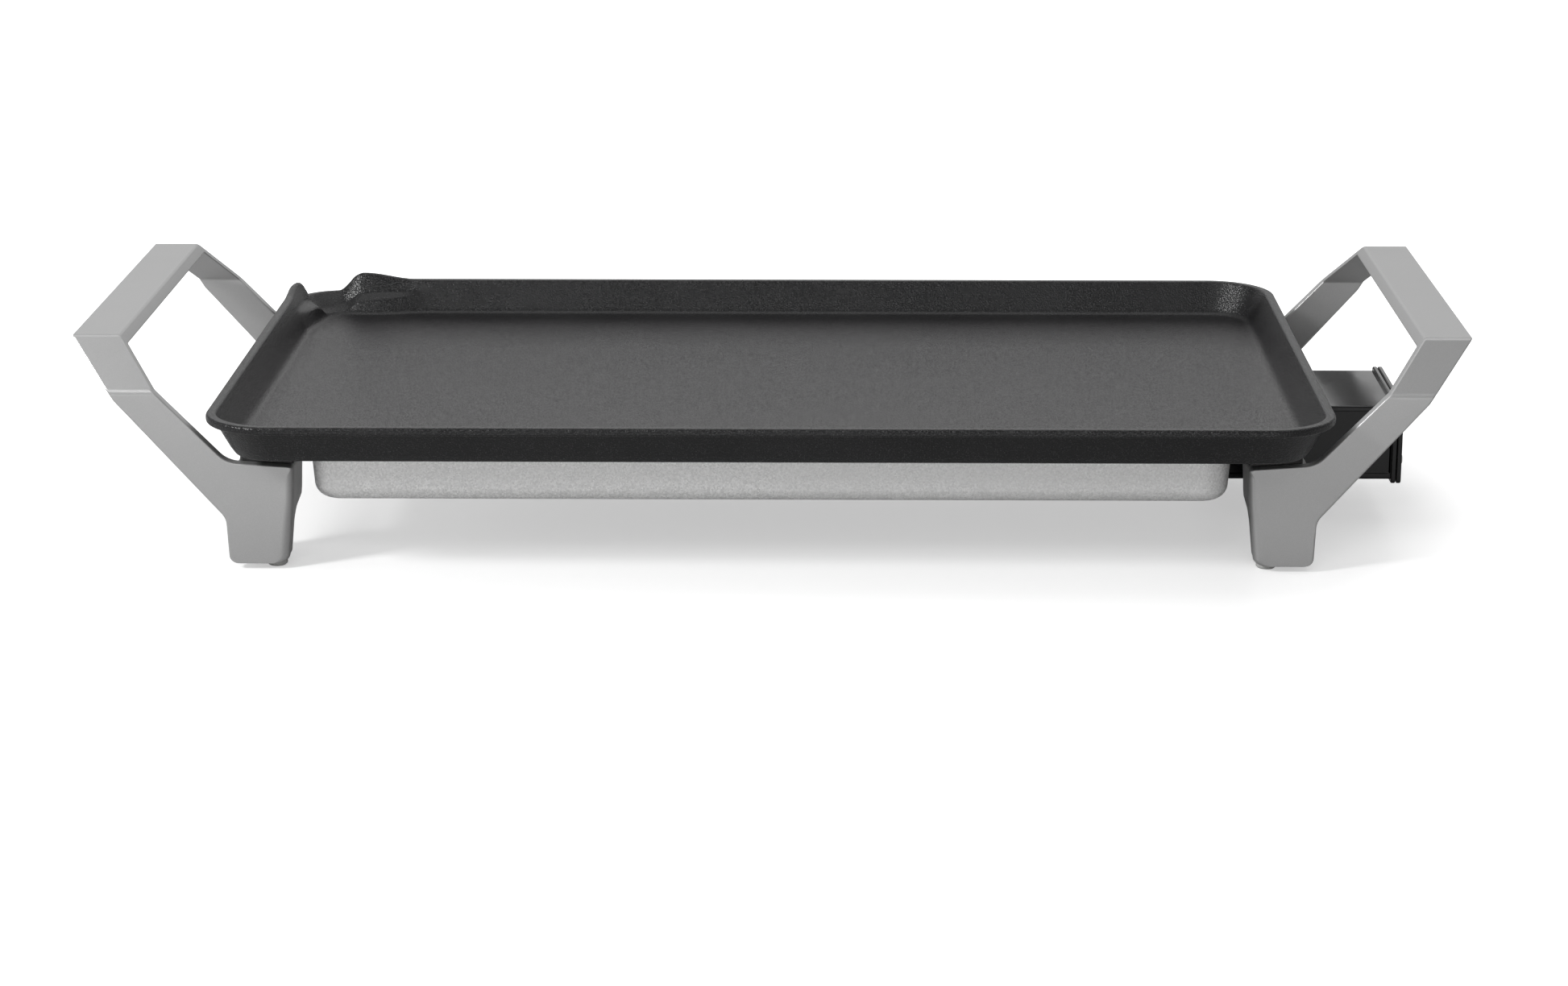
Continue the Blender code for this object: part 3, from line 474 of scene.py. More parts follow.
def nonstick_material(base):
    """Satin black coating: fine orange peel, flecks painted paler as glints, faint clouding, and paler edges
    painted as highlights.
    """
    material, tree, shader = new_material("nonstick_coating", 0.35, Specular_IOR_Level=0.33)
    grain = group_node(tree, "Fine Grain", Grain_Scale=1500.0, Cloud_Scale=14.0)
    fleck = group_node(tree, "Speckle", Cell_Scale=1050.0, Share=0.4)
    edge_highlight = group_node(tree, "Edge Painted Highlight", Low=0.52, High=0.58, Break_Scale=60.0)
    cloud = ramp_between(tree, grain.outputs["Cloud"], 0.3, 0.7)
    tone = mixed(tree, cloud, base, scaled(base, 1.35, 0.002))
    # painted glints: paler flecks in the coating's colour stand in for sparkle where light catches it
    tone = tinted(tree, tone, fleck.outputs["Flake"], 0.16, (0.16, 0.16, 0.165))
    # painted highlight: paler edges stand in for the light caught on the rim's rounded edges
    tone = tinted(tree, tone, edge_highlight.outputs["Painted Highlight"], 0.35, (0.10, 0.10, 0.10))
    tree.links.new(tone, shader.inputs["Base Color"])
    rough = multiply_add(tree, grain.outputs["Grain"], 0.08, 0.17)
    rough = multiply_add(tree, fleck.outputs["Flake"], -0.08, rough)
    rough = multiply_add(tree, cloud, 0.03, rough)
    tree.links.new(rough, shader.inputs["Roughness"])
    height = multiply_add(tree, grain.outputs["Grain"], 0.5, fleck.outputs["Height"])
    bumped(tree, shader, height, 0.00018, 1.0)
    return material


def paint_material(base):
    """Satin silver paint: metallic flake grain, soft clouding and paler edges painted as highlights."""
    material, tree, shader = new_material("silver_paint", 0.4, 0.7, Specular_IOR_Level=0.5)
    grain = group_node(tree, "Fine Grain", Grain_Scale=2600.0, Cloud_Scale=22.0)
    edge_highlight = group_node(tree, "Edge Painted Highlight", Low=0.515, High=0.60, Break_Scale=60.0)
    fleck = group_node(tree, "Speckle", Cell_Scale=2400.0, Share=0.25)
    fine = ramp_between(tree, grain.outputs["Grain"], 0.3, 0.7)
    cloud = ramp_between(tree, grain.outputs["Cloud"], 0.3, 0.7, 0.0, 0.5)
    tone = mixed(tree, fine, scaled(base, 0.94), scaled(base, 1.05))
    tone = mixed(tree, cloud, tone, scaled(base, 0.96))
    tone = tinted(tree, tone, fleck.outputs["Flake"], 0.25, (0.62, 0.62, 0.62))
    # painted highlight: paler edges stand in for the light caught on the casting's rounded edges
    tone = tinted(tree, tone, edge_highlight.outputs["Painted Highlight"], 0.35, (0.66, 0.66, 0.66))
    tree.links.new(tone, shader.inputs["Base Color"])
    rough = ramp_between(tree, grain.outputs["Grain"], 0.25, 0.75, 0.33, 0.45)
    tree.links.new(rough, shader.inputs["Roughness"])
    bumped(tree, shader, grain.outputs["Grain"], 0.00003, 0.35)
    return material


def sheet_material(base):
    """Aluminised sheet: a mosaic of pale and dark crystals, finer grain in each, and faint clouding."""
    material, tree, shader = new_material("aluminised_sheet", 0.5, 0.55)
    where = object_place(tree)
    grain = group_node(tree, "Fine Grain", Grain_Scale=1300.0, Cloud_Scale=9.0)
    cells = node(tree, "ShaderNodeTexVoronoi", {"Vector": where, "Scale": 1100.0})
    shade = node(tree, "ShaderNodeSeparateColor", {"Color": cells.outputs["Color"]}).outputs["Green"]
    fine = node(tree, "ShaderNodeTexVoronoi", {"Vector": where, "Scale": 2600.0})
    fine_shade = node(tree, "ShaderNodeSeparateColor", {"Color": fine.outputs["Color"]}).outputs["Blue"]
    cloud = ramp_between(tree, grain.outputs["Cloud"], 0.35, 0.7, 0.0, 0.35)
    tone = mixed(tree, shade, scaled(base, 0.72), scaled(base, 1.13))
    tone = tinted(tree, tone, fine_shade, 0.5, scaled(base, 0.70))
    tone = mixed(tree, cloud, tone, scaled(base, 0.86))
    tree.links.new(tone, shader.inputs["Base Color"])
    tree.links.new(ramp_between(tree, shade, 0.0, 1.0, 0.42, 0.62), shader.inputs["Roughness"])
    bumped(tree, shader, multiply_add(tree, shade, 0.4, grain.outputs["Grain"]), 0.00012, 0.5)
    return material


def gloss_material(base):
    """Gloss moulded plastic: slight waviness, cloudy roughness, paler edges painted as highlights and a few
    dust specks.
    """
    material, tree, shader = new_material("gloss_plastic", 0.1, Specular_IOR_Level=0.5)
    grain = group_node(tree, "Fine Grain", Grain_Scale=700.0, Cloud_Scale=26.0)
    dust = group_node(tree, "Speckle", Cell_Scale=420.0, Share=0.03)
    edge_highlight = group_node(tree, "Edge Painted Highlight", Low=0.53, High=0.62, Break_Scale=120.0)
    tone = tinted(tree, base, dust.outputs["Flake"], 0.10, (0.10, 0.10, 0.10))
    # painted highlight: paler edges stand in for the light caught on the moulding's edges
    tone = tinted(tree, tone, edge_highlight.outputs["Painted Highlight"], 0.25, (0.05, 0.05, 0.05))
    tree.links.new(tone, shader.inputs["Base Color"])
    rough = ramp_between(tree, grain.outputs["Cloud"], 0.35, 0.7, 0.09, 0.19)
    tree.links.new(rough, shader.inputs["Roughness"])
    bumped(tree, shader, grain.outputs["Cloud"], 0.0002, 0.08)
    return material


def plain_material(name, base, roughness, metallic=0.0, grain_scale=1400.0, depth=0.00004, vary=0.12,
                   **constants):
    """A finish of one tone, varied by fine grain and slow clouding, with paler edges painted as highlights.
    """
    material, tree, shader = new_material(name, roughness, metallic, **constants)
    grain = group_node(tree, "Fine Grain", Grain_Scale=grain_scale, Cloud_Scale=45.0)
    edge_highlight = group_node(tree, "Edge Painted Highlight", Low=0.52, High=0.62, Break_Scale=150.0)
    cloud = ramp_between(tree, grain.outputs["Cloud"], 0.35, 0.7, 0.0, 0.4)
    tone = mixed(tree, grain.outputs["Grain"], scaled(base, 1.0 - vary), scaled(base, 1.0 + vary))
    tone = mixed(tree, cloud, tone, scaled(base, 1.0 - 1.5 * vary))
    # painted highlight: paler edges stand in for light caught on rounded edges
    tone = tinted(tree, tone, edge_highlight.outputs["Painted Highlight"], 0.3, scaled(base, 1.5, 0.03))
    tree.links.new(tone, shader.inputs["Base Color"])
    rough = ramp_between(tree, grain.outputs["Cloud"], 0.3, 0.7, roughness * 0.85, min(1.0, roughness * 1.2))
    tree.links.new(rough, shader.inputs["Roughness"])
    bumped(tree, shader, grain.outputs["Grain"], depth, 0.5)
    return material


def make_materials():
    """All finishes by the name of the record's slot."""
    scene = bpy.context.scene
    GROUPS.update({"Fine Grain": grain_group(), "Edge Painted Highlight": edge_highlight_group(), "Speckle": speckle_group()})
    MATERIALS.update({
        "nonstick_plate": nonstick_material(tuple(scene.griddle_plate.coating)),
        "silver_casting": paint_material(tuple(scene.griddle_casting.paint)),
        "shield_steel": sheet_material(tuple(scene.griddle_shield.sheet)),
        "gloss_black": gloss_material(tuple(scene.griddle_control.plastic)),
        "matte_black": plain_material("matte_plastic", (0.016, 0.016, 0.016), 0.55, grain_scale=1100.0),
        "element_sheath": plain_material("heated_sheath", (0.16, 0.135, 0.115), 0.5, 0.85, vary=0.3),
        "plated_steel": plain_material("zinc_plate", (0.60, 0.60, 0.59), 0.27, 1.0, 2200.0, 0.00002),
        "contact_brass": plain_material("bare_brass", (0.66, 0.47, 0.19), 0.3, 1.0, 2200.0, 0.00002),
        "ceramic_white": plain_material("unglazed_ceramic", (0.76, 0.72, 0.64), 0.65, 0.0, 1800.0, vary=0.06),
        "foot_rubber": plain_material("foot_rubber", (0.47, 0.47, 0.46), 0.72, 0.0, 1500.0, vary=0.1),
        "lens_amber": plain_material("amber_lens", (0.80, 0.26, 0.04), 0.12, vary=0.05, Coat_Weight=0.4),
        "lamp_glass": plain_material("lamp_glass", (0.80, 0.78, 0.72), 0.08, vary=0.04,
                                     Transmission_Weight=0.6),
        "dial_print": plain_material("dial_print", (0.70, 0.70, 0.68), 0.5, vary=0.05),
    })


# ---------------------------------------------------------------- plate

RIM_Z, FLOOR_Z, UNDER_Z = 89.4, 70.8, 67.2
PLATE_HALF = (300.0, 180.0)
PLAIN_RIM = 999.0
LEFT_NEAR, LEFT_STRETCH, LEFT_HORN = 26.5, 1.6, 0.78
CLAMP_SCREW_AT = ((0.0, -98.0), (0.0, 122.0), (-40.0, -28.0), (-40.0, 52.0))


def four(at):
    """The four mirror images of a point in X and Y."""
    return [(sx * at[0], sy * at[1]) for sx in SIGNS for sy in SIGNS]


# Each cast post's centre, lower end, radius, bore and the top of the bore.
POSTS = [(*at, 61.6, 5.4, 2.2, 67.4) for at in four(LEG_SCREW_AT)]
POSTS += [(*at, 40.3, 5.0, 1.9, 54.0) for at in four(SHIELD_SCREW_AT)]
POSTS += [(*at, 60.2, 4.0, 1.7, 66.4) for at in CLAMP_SCREW_AT]


def plate_stations(radius):
    """Centres, directions and distances round the plate's outline, anticlockwise from the front right.

    An outline point is centre + (radius - inset) * direction. The distance runs along the rim from the
    middle of the back left corner and is positive towards the back edge; it is PLAIN_RIM away from there.
    """
    cx, cy = PLATE_HALF[0] - radius, PLATE_HALF[1] - radius
    arc = radius * math.pi / 4.0
    ramp = np.concatenate([np.linspace(70.0, 30.0, 20)[:-1], np.linspace(30.0, 1.0, 25)])
    plain = np.linspace(0.0, 90.0, 25)
    fine = np.linspace(90.0, 180.0, 73)
    side_x = np.linspace(-cx + 100.0, cx, 14)[1:-1]
    side_y = np.linspace(-cy, cy - 100.0, 9)[1:-1]
    rows = []

    def add(x, y, degrees, along=PLAIN_RIM):
        turn = np.radians(degrees)
        rows.append(np.stack(np.broadcast_arrays(x, y, np.cos(turn), np.sin(turn), along), axis=-1))

    add(side_x, -cy, 270.0)
    add(cx, -cy, 270.0 + plain)
    add(cx, np.linspace(-cy, cy, 11)[1:-1], 0.0)
    add(cx, cy, plain)
    add(side_x[::-1], cy, 90.0)
    add(-cx + ramp, cy, 90.0, arc + ramp)
    add(-cx, cy, fine, radius * np.radians(135.0 - fine))
    add(-cx, cy - ramp[::-1], 180.0, -arc - ramp[::-1])
    add(-cx, side_y[::-1], 180.0)
    add(-cx, -cy, 180.0 + plain)
    return np.concatenate(rows)


def plate_rings(settings):
    """Rings of the plate, from the underside round the rim to the floor.

    A ring lies at one inset and height of the section. Near the pouring lip the rings drop and lean out,
    and beside it they rise to a horn, all in proportion to their height over the floor. There the rim
    thins with the cube of that height, and the lower wall stands in as a ledge whose top climbs away from
    the lip. On the lip's left side, distances under LEFT_NEAR are stretched about it, so that the lip is
    narrower there and its horn stands closer.
    """
    radius, turn = settings.corner_radius / MM, settings.spout_turn / MM
    drop, flare = settings.spout_drop / MM, settings.spout_flare / MM
    outside = filleted([(21.0, UNDER_Z), (14.9, UNDER_Z), (12.2, 71.2), (4.9, 84.7), (0.0, 85.1),
                        (0.0, RIM_Z), (3.4, RIM_Z)], (0.0, 2.2, 6.0, 1.1, 1.3, 1.7, 0.0), 6)
    inside = filleted([(3.4, RIM_Z), (5.2, RIM_Z), (12.6, 75.4), (15.2, FLOOR_Z), (30.0, FLOOR_Z)],
                      (0.0, 1.7, 5.0, 5.0, 0.0), 8)
    foot = int(np.argmax(inside[:, 1] < FLOOR_Z + 0.01))
    inside = np.concatenate([inside[1:9], resampled(inside[9:foot + 1], 26), inside[-1:]])
    inset, z = np.concatenate([outside, inside]).T[..., None]
    cx, cy, ux, uy, along = plate_stations(radius).T
    away, behind = np.abs(along - turn), along > turn
    stretched = LEFT_NEAR - 2.5 + (away - LEFT_NEAR) * np.where(away < LEFT_NEAR, LEFT_STRETCH, 1.0)
    away = np.where(behind, away, np.maximum(stretched, 0.0))
    weight = np.clip((z - FLOOR_Z) / (RIM_Z - FLOOR_Z), 0.0, 1.0)
    lip = 1.0 - smoothstep(8.0, 19.0, away)
    horn = smoothstep(14.0, 24.0, away) * (1.0 - smoothstep(25.0, 56.0, away))
    horn *= np.where(behind, 1.0, LEFT_HORN)
    lift = (settings.horn_rise / MM * horn - drop * lip) * weight
    near = 1.0 - smoothstep(34.0, 66.0, away)
    fold = 77.0 + 0.11 * (away - 12.0)
    ledge = settings.spout_ledge / MM * near * (1.0 - smoothstep(fold - 1.9, fold + 1.9, z))
    thin = settings.spout_thin / MM * near * weight ** 3
    inner = (np.arange(len(inset)) >= len(outside) - 1)[:, None]
    inset = inset + inner * (ledge - thin)
    reach = radius - inset + flare * lip * weight ** 2 * (2.0 * ux * uy) ** 2
    return np.stack([cx + reach * ux, cy + reach * uy, z + lift], axis=-1)


def panel(ring, height, count=9):
    """Fill a ring with rings shrunk evenly towards its middle, so that no face is long and thin."""
    middle = ring.mean(axis=0)
    shrink = np.linspace(1.0, 0.0, count + 1)[1:-1, None, None]
    inner = middle + (ring - middle)[None] * shrink
    inner[..., 2] = height
    return inner


def plate_post(x, y, low, radius, bore, top):
    """A cast post under the plate: a turned tube with a flared root and a blind hole from below."""
    root = UNDER_Z + 1.2
    outline = [(bore, top), (bore, low), (radius, low), (radius + 0.5, UNDER_Z - 0.1), (radius + 3.0, root),
               (0.0, root)]
    profile = filleted(outline, (0.0, 0.35, 0.5, 2.0, 0.0, 0.0), 4)
    profile = np.concatenate([[(0.0, top - 0.6)], profile])
    return turned(profile, "Z", (x, y, 0.0), 28)


class GRIDDLE_OT_plate(bpy.types.Operator):
    """Cast plate: leaning wall, thick rim, pouring lip with horns, posts and probe block underneath"""
    bl_idname = "griddle.plate"
    bl_label = "Build plate"

    def execute(self, context):
        coating = MATERIALS["nonstick_plate"]
        rings = plate_rings(context.scene.griddle_plate)
        under = panel(rings[0], UNDER_Z)[::-1]
        floor = panel(rings[-1], FLOOR_Z)
        parts = [lofted(np.concatenate([under, rings, floor]))]
        parts += [plate_post(*post) for post in POSTS]
        plate = add_piece("cast_plate", *merged(parts), coating, 50.0)
        outline = rectangle_outline(7.5, 7.5, 2.0, 4) + (0.0, 61.7)
        well = add_piece("well_block", *prism(outline, "X", 198.0, 236.0), coating)
        bore = turned([(0, 202), (2.9, 203), (2.9, 240), (0, 240)], "X", (0, 0, PROBE_Z), 24)
        carve(well, [(add_piece("well_bore", *bore, coating), "DIFFERENCE")])
        bevelled(well, 0.0005, 2)
        applied(well)
        weighted(plate)
        place(plate, "base", "nonstick_plate", "griddle_plate")
        place(well, "base", "nonstick_plate")
        return {"FINISHED"}


# ---------------------------------------------------------------- handle frames

ARM_Y, ARM_T, GRIP_T, GRIP_HALF_Y = 141.0, 6.6, 5.4, 117.7
KNEE_Z, GRIP_Z, SPLIT_Z, LEG_UNDER_Z, LEG_TOP_Z, LEG_INNER_Y = 98.5, 124.4, 93.4, 3.4, 57.2, 104.0


def strip_sections(edge, leg_edge):
    """Corner points and edge radii of one arm, from the foot of its leg up to the middle of the grip.

    Each section has four corners: outer face at the inner edge, outer face at the outer edge, and the
    same two on the hidden face. Below the knee the pairs walk down the leg's two outlines; above it they
    follow the bend in Y and Z, with X leaning out in proportion to the height.
    """
    inner = filleted([(323.4, SPLIT_Z), (291.1, 59.9), (255.4, 57.4), (256.3, 38.0), (259.9, LEG_UNDER_Z),
                      (273.0, LEG_UNDER_Z)], (0, 15.0, 3.0, 30.0, 4.4, 0), 10)
    outer = filleted([(349.9, SPLIT_Z), (292.7, 28.4), (291.7, LEG_UNDER_Z), (278.0, LEG_UNDER_Z)],
                     (0, 10.0, 4.4, 0), 10)
    inner_blocks = [inner[:2], inner[1:12], inner[11:13], inner[12:23], inner[22:35], inner[34:45]]
    cut_a, cut_b = np.array((313.6, 52.2)), np.array((300.0, 36.7))
    outer_blocks = [[outer[0], cut_a], [cut_a, cut_b], [cut_b, outer[1]], outer[1:12], outer[11:13],
                    outer[12:23]]
    counts = (12, 11, 5, 11, 13, 11)
    a, b = (np.concatenate([resampled(part, count)[1:] for part, count in zip(blocks, counts)])[::-1]
            for blocks in (inner_blocks, outer_blocks))
    hidden_y = ARM_Y - ARM_T
    leg = np.stack([along_axis(flat, -y, "Y") for flat, y in
                    ((a, ARM_Y), (b, ARM_Y), (b, hidden_y), (a, hidden_y))], axis=1)

    rise = (ARM_Y - GRIP_HALF_Y) / (GRIP_Z - KNEE_Z)
    under = hidden_y - rise * (GRIP_Z - GRIP_T - KNEE_Z)
    top = filleted([(-ARM_Y, SPLIT_Z), (-ARM_Y, KNEE_Z), (-GRIP_HALF_Y, GRIP_Z), (0.0, GRIP_Z)],
                   (0, 5.5, 4.2, 0), 9)
    low = filleted([(-hidden_y, SPLIT_Z), (-hidden_y, KNEE_Z), (-under, GRIP_Z - GRIP_T),
                    (0.0, GRIP_Z - GRIP_T)], (0, 2.0, 2.6, 0), 9)
    upper = []
    for path, order in ((top, 1), (low, -1)):
        y, z = path.T
        lean, drop = np.maximum(z - KNEE_Z, 0.0), np.maximum(KNEE_Z - z, 0.0)
        edges = (328.3 + 0.8147 * lean - 0.9626 * drop, 353.0 + 0.861 * lean - 0.607 * drop)
        upper += [np.stack([x, y, z], axis=1) for x in edges[::order]]
    corners = np.concatenate([leg, np.stack(upper, axis=1)])
    radii = np.full((len(corners), 4), edge)
    radii[:, 0] += (leg_edge - edge) * (1.0 - smoothstep(54.0, LEG_TOP_Z, corners[:, 0, 2]))
    return corners, radii


def rounded_rings(corners, radii, steps=5):
    """Four-cornered sections with each corner turned on a quarter round of its own radius."""
    ring = []
    for k in range(4):
        here = corners[:, k]
        back = corners[:, k - 1] - here
        ahead = corners[:, (k + 1) % 4] - here
        back /= np.linalg.norm(back, axis=1)[:, None]
        ahead /= np.linalg.norm(ahead, axis=1)[:, None]
        size = radii[:, k, None]
        for t in np.linspace(0.0, math.pi / 2.0, steps + 1):
            ring.append(here + size * (back * (1.0 - math.sin(t)) + ahead * (1.0 - math.cos(t))))
    return np.stack(ring, axis=1)


def frame_strip(settings, side):
    """The whole strip: one arm's sections, then the same mirrored in Y for the other arm."""
    corners, radii = strip_sections(settings.edge_round / MM, settings.leg_round / MM)
    other, other_radii = corners[::-1].copy(), radii[::-1]
    other[..., 1] *= -1.0
    corners = np.concatenate([corners, other[1:]])
    radii = np.concatenate([radii, other_radii[1:]])
    corners[..., 0] *= side
    return lofted(rounded_rings(corners, radii))


def leg_parts(side, end):
    """Solids of one leg by the step that they are joined or cut in: block, hollow, screw boss and holes."""
    y = lambda *values: sorted(end * value for value in values)
    wall = filleted([(255.9, LEG_TOP_Z - 0.1), (256.8, 36.5), (260.3, 3.6), (291.0, 3.6), (291.0, 26.0),
                     (291.0, LEG_TOP_Z - 0.1)], (3.0, 30.0, 4.2, 4.0, 0, 9.0), 6, closed=True)
    hollow = filleted([(259.8, 53.4), (261.4, 30.0), (264.2, 8.0), (287.0, 8.0), (287.6, 53.4)],
                      (1.5, 0, 1.5, 1.5, 6.0), 4, closed=True)
    heel = filleted([(126.0, -5.0), (126.0, 25.0), (121.0, 30.0), (98.0, 33.5), (98.0, -5.0)],
                    (0, 5.0, 5.0, 0, 0), 6, closed=True)
    flip = np.array((side, 1.0))
    screw = (side * LEG_SCREW_AT[0], end * LEG_SCREW_AT[1], 0.0)
    foot = (side * 267.5, end * 130.0, 0.0)
    boss = turned([(0, 36), (5.6, 36), (6.0, 36.4), (6.3, 56), (0, 56)], "Z", screw, 32)
    return {
        "block": prism(wall * flip, "Y", *y(135.4, LEG_INNER_Y)),
        "hollow": merged([prism(hollow * flip, "Y", *y(137.4, LEG_INNER_Y - 6.0)),
                          prism(heel * (end, 1.0), "X", 240.0 * side, 300.0 * side)]),
        "bosses": boss,
        "holes": merged([drilled(2.4, 30, 62, "Z", screw), drilled(2.5, 0, 12, "Z", foot)]),
    }


class GRIDDLE_OT_handle_frames(bpy.types.Operator):
    """Cast handle frames: grip, leaning arms and hollow legs in one casting on each side"""
    bl_idname = "griddle.handle_frames"
    bl_label = "Build handle frames"

    def execute(self, context):
        settings = context.scene.griddle_casting
        material = MATERIALS["silver_casting"]
        for name, side in zip(("left", "right"), SIGNS):
            casting = add_piece(f"handle_casting_{name}", *frame_strip(settings, side), material, 40.0)
            legs = [leg_parts(side, end) for end in SIGNS]
            steps = []
            for kind, operation in (("block", "UNION"), ("hollow", "DIFFERENCE"), ("bosses", "UNION"),
                                    ("holes", "DIFFERENCE")):
                tool = add_piece(f"{name}_{kind}", *merged([leg[kind] for leg in legs]), material)
                steps.append((tool, operation))
            carve(casting, steps)
            weighted(casting, 40.0)
            place(casting, "base", "silver_casting", f"handle_frame_{name}")
        return {"FINISHED"}


class GRIDDLE_OT_leg_fittings(bpy.types.Operator):
    """Insulating spacer with a lightening groove, and a ringed push-in foot, on each leg"""
    bl_idname = "griddle.leg_fittings"
    bl_label = "Build leg fittings"

    def execute(self, context):
        for side_name, end_name in LEG_NAMES:
            where = f"{side_name}_{end_name}"
            self.build_spacer(where)
            self.build_foot(where)
        return {"FINISHED"}

    def build_spacer(self, where):
        """A rounded block with a groove round its middle and a hole for the leg screw."""
        black = MATERIALS["matte_black"]
        low, high = span(f"heat_spacer_{where}")
        middle, half = (low + high) / 2.0, (high - low) / 2.0
        outline = rectangle_outline(half[0], half[1], 2.0, 6) + middle[:2]
        spacer = add_piece(f"spacer_{where}", *prism(outline, "Z", low[2], high[2]), black)
        outer = rectangle_outline(half[0] + 1.0, half[1] + 1.0, 3.0, 6)
        inner = rectangle_outline(half[0] - 0.6, half[1] - 0.6, 1.4, 6)
        rings = [along_axis(flat + middle[:2], middle[2] + rise, "Z") for flat, rise in
                 ((outer, -1.0), (outer, 1.0), (inner, 0.6), (inner, -0.6), (outer, -1.0))]
        groove = add_piece("groove", *lofted(rings, False, False), black)
        at = np.mean(span(f"leg_screw_{where}"), axis=0)
        hole = add_piece("hole", *drilled(5.8, 50, 75, "Z", (at[0], at[1], 0.0), 32), black)
        carve(spacer, [(groove, "DIFFERENCE"), (hole, "DIFFERENCE")])
        bevelled(spacer, 0.0005, 3)
        place(spacer, "base", "matte_black", f"heat_spacer_{where}")

    def build_foot(self, where):
        """A turned foot: ringed sole, rounded rim and a barbed stem."""
        centre = np.mean(span(f"foot_{where}"), axis=0)
        sole = [(0.0, 0.6), (1.6, 0.6), (1.9, 0.0), (2.6, 0.0), (2.8, 0.5), (3.3, 0.5), (3.5, 0.0)]
        stem = filleted([(4.6, 0.0), (5.5, 0.9), (5.5, 3.1), (2.2, 3.1), (2.2, 8.5), (3.0, 9.1), (1.4, 12.0),
                         (0.0, 12.0)], (0, 0.5, 0.4, 0.3, 0.2, 0.4, 0.5, 0), 4)
        shape = turned(np.concatenate([sole, stem]), "Z", (centre[0], centre[1], 0.0), 40)
        foot = add_piece(f"push_in_foot_{where}", *shape, MATERIALS["foot_rubber"])
        place(foot, "base", "foot_rubber", f"foot_{where}")


# ---------------------------------------------------------------- heat shield and heating element

SHIELD_HALF, SHIELD_UNDER_Z, SHEET_T = (247.0, 146.0), 39.2, 0.8


def end_holes(start, end, pin, screw, probe, steps):
    """Holes along X for the two pins, the two socket screws and the probe."""
    holes = [(-PIN_Y, PIN_Z, pin), (PIN_Y, PIN_Z, pin), (-SOCKET_SCREW_Y, SOCKET_SCREW_Z, screw),
             (SOCKET_SCREW_Y, SOCKET_SCREW_Z, screw), (0.0, PROBE_Z, probe)]
    return [drilled(radius, start, end, "X", (0.0, y, z), steps) for y, z, radius in holes]


class GRIDDLE_OT_heat_shield(bpy.types.Operator):
    """Drawn sheet tray: leaning wall, rolled foot, folded hem, and holes for screws, pins and probe"""
    bl_idname = "griddle.heat_shield"
    bl_label = "Build heat shield"

    def execute(self, context):
        steel = MATERIALS["shield_steel"]
        radius = context.scene.griddle_shield.corner_radius / MM
        base, top = SHIELD_UNDER_Z, UNDER_Z - 0.3
        outside = filleted([(40.0, base), (2.1, base), (0.0, top)], (0, 8.0, 0), 14)
        inside = filleted([(0.0, top), (1.7, top), (1.7, top - 3.2), (0.9, top - 3.6),
                           (2.1 + SHEET_T, base + SHEET_T), (40.0, base + SHEET_T)],
                          (0, 0.5, 0.2, 0.2, 7.2, 0), 10)
        section = np.concatenate([outside, inside[1:]])
        rings = np.array([along_axis(rectangle_outline(SHIELD_HALF[0] - inset, SHIELD_HALF[1] - inset,
                                                       max(radius - inset, 0.6), 16), z, "Z")
                          for inset, z in section])
        under = panel(rings[0], base, 4)[::-1]
        inner = panel(rings[-1], base + SHEET_T, 4)
        shield = add_piece("shield_tray", *lofted(np.concatenate([under, rings, inner])), steel, 40.0)
        holes = [drilled(2.2, 35, 45, "Z", (*at, 0.0)) for at in four(SHIELD_SCREW_AT)]
        holes += end_holes(240, 260, 5.6, 2.0, 3.4, 28)
        carve(shield, [(add_piece("shield_holes", *merged(holes), steel), "DIFFERENCE")])
        weighted(shield, 40.0)
        place(shield, "base", "shield_steel", "heat_shield")
        return {"FINISHED"}


def swept_tube(path, radius, steps=20):
    """A round tube along a path: rings stand square to the path, with their first direction kept level."""
    path = np.asarray(path, float)
    ahead = np.gradient(path, axis=0)
    ahead /= np.linalg.norm(ahead, axis=1)[:, None]
    side = np.cross(ahead, (0.0, 0.0, 1.0))
    side /= np.linalg.norm(side, axis=1)[:, None]
    up = np.cross(side, ahead)
    angle = np.linspace(0.0, math.tau, steps, endpoint=False)[None, :, None]
    return lofted(path[:, None] + radius * (side[:, None] * np.cos(angle) + up[:, None] * np.sin(angle)))


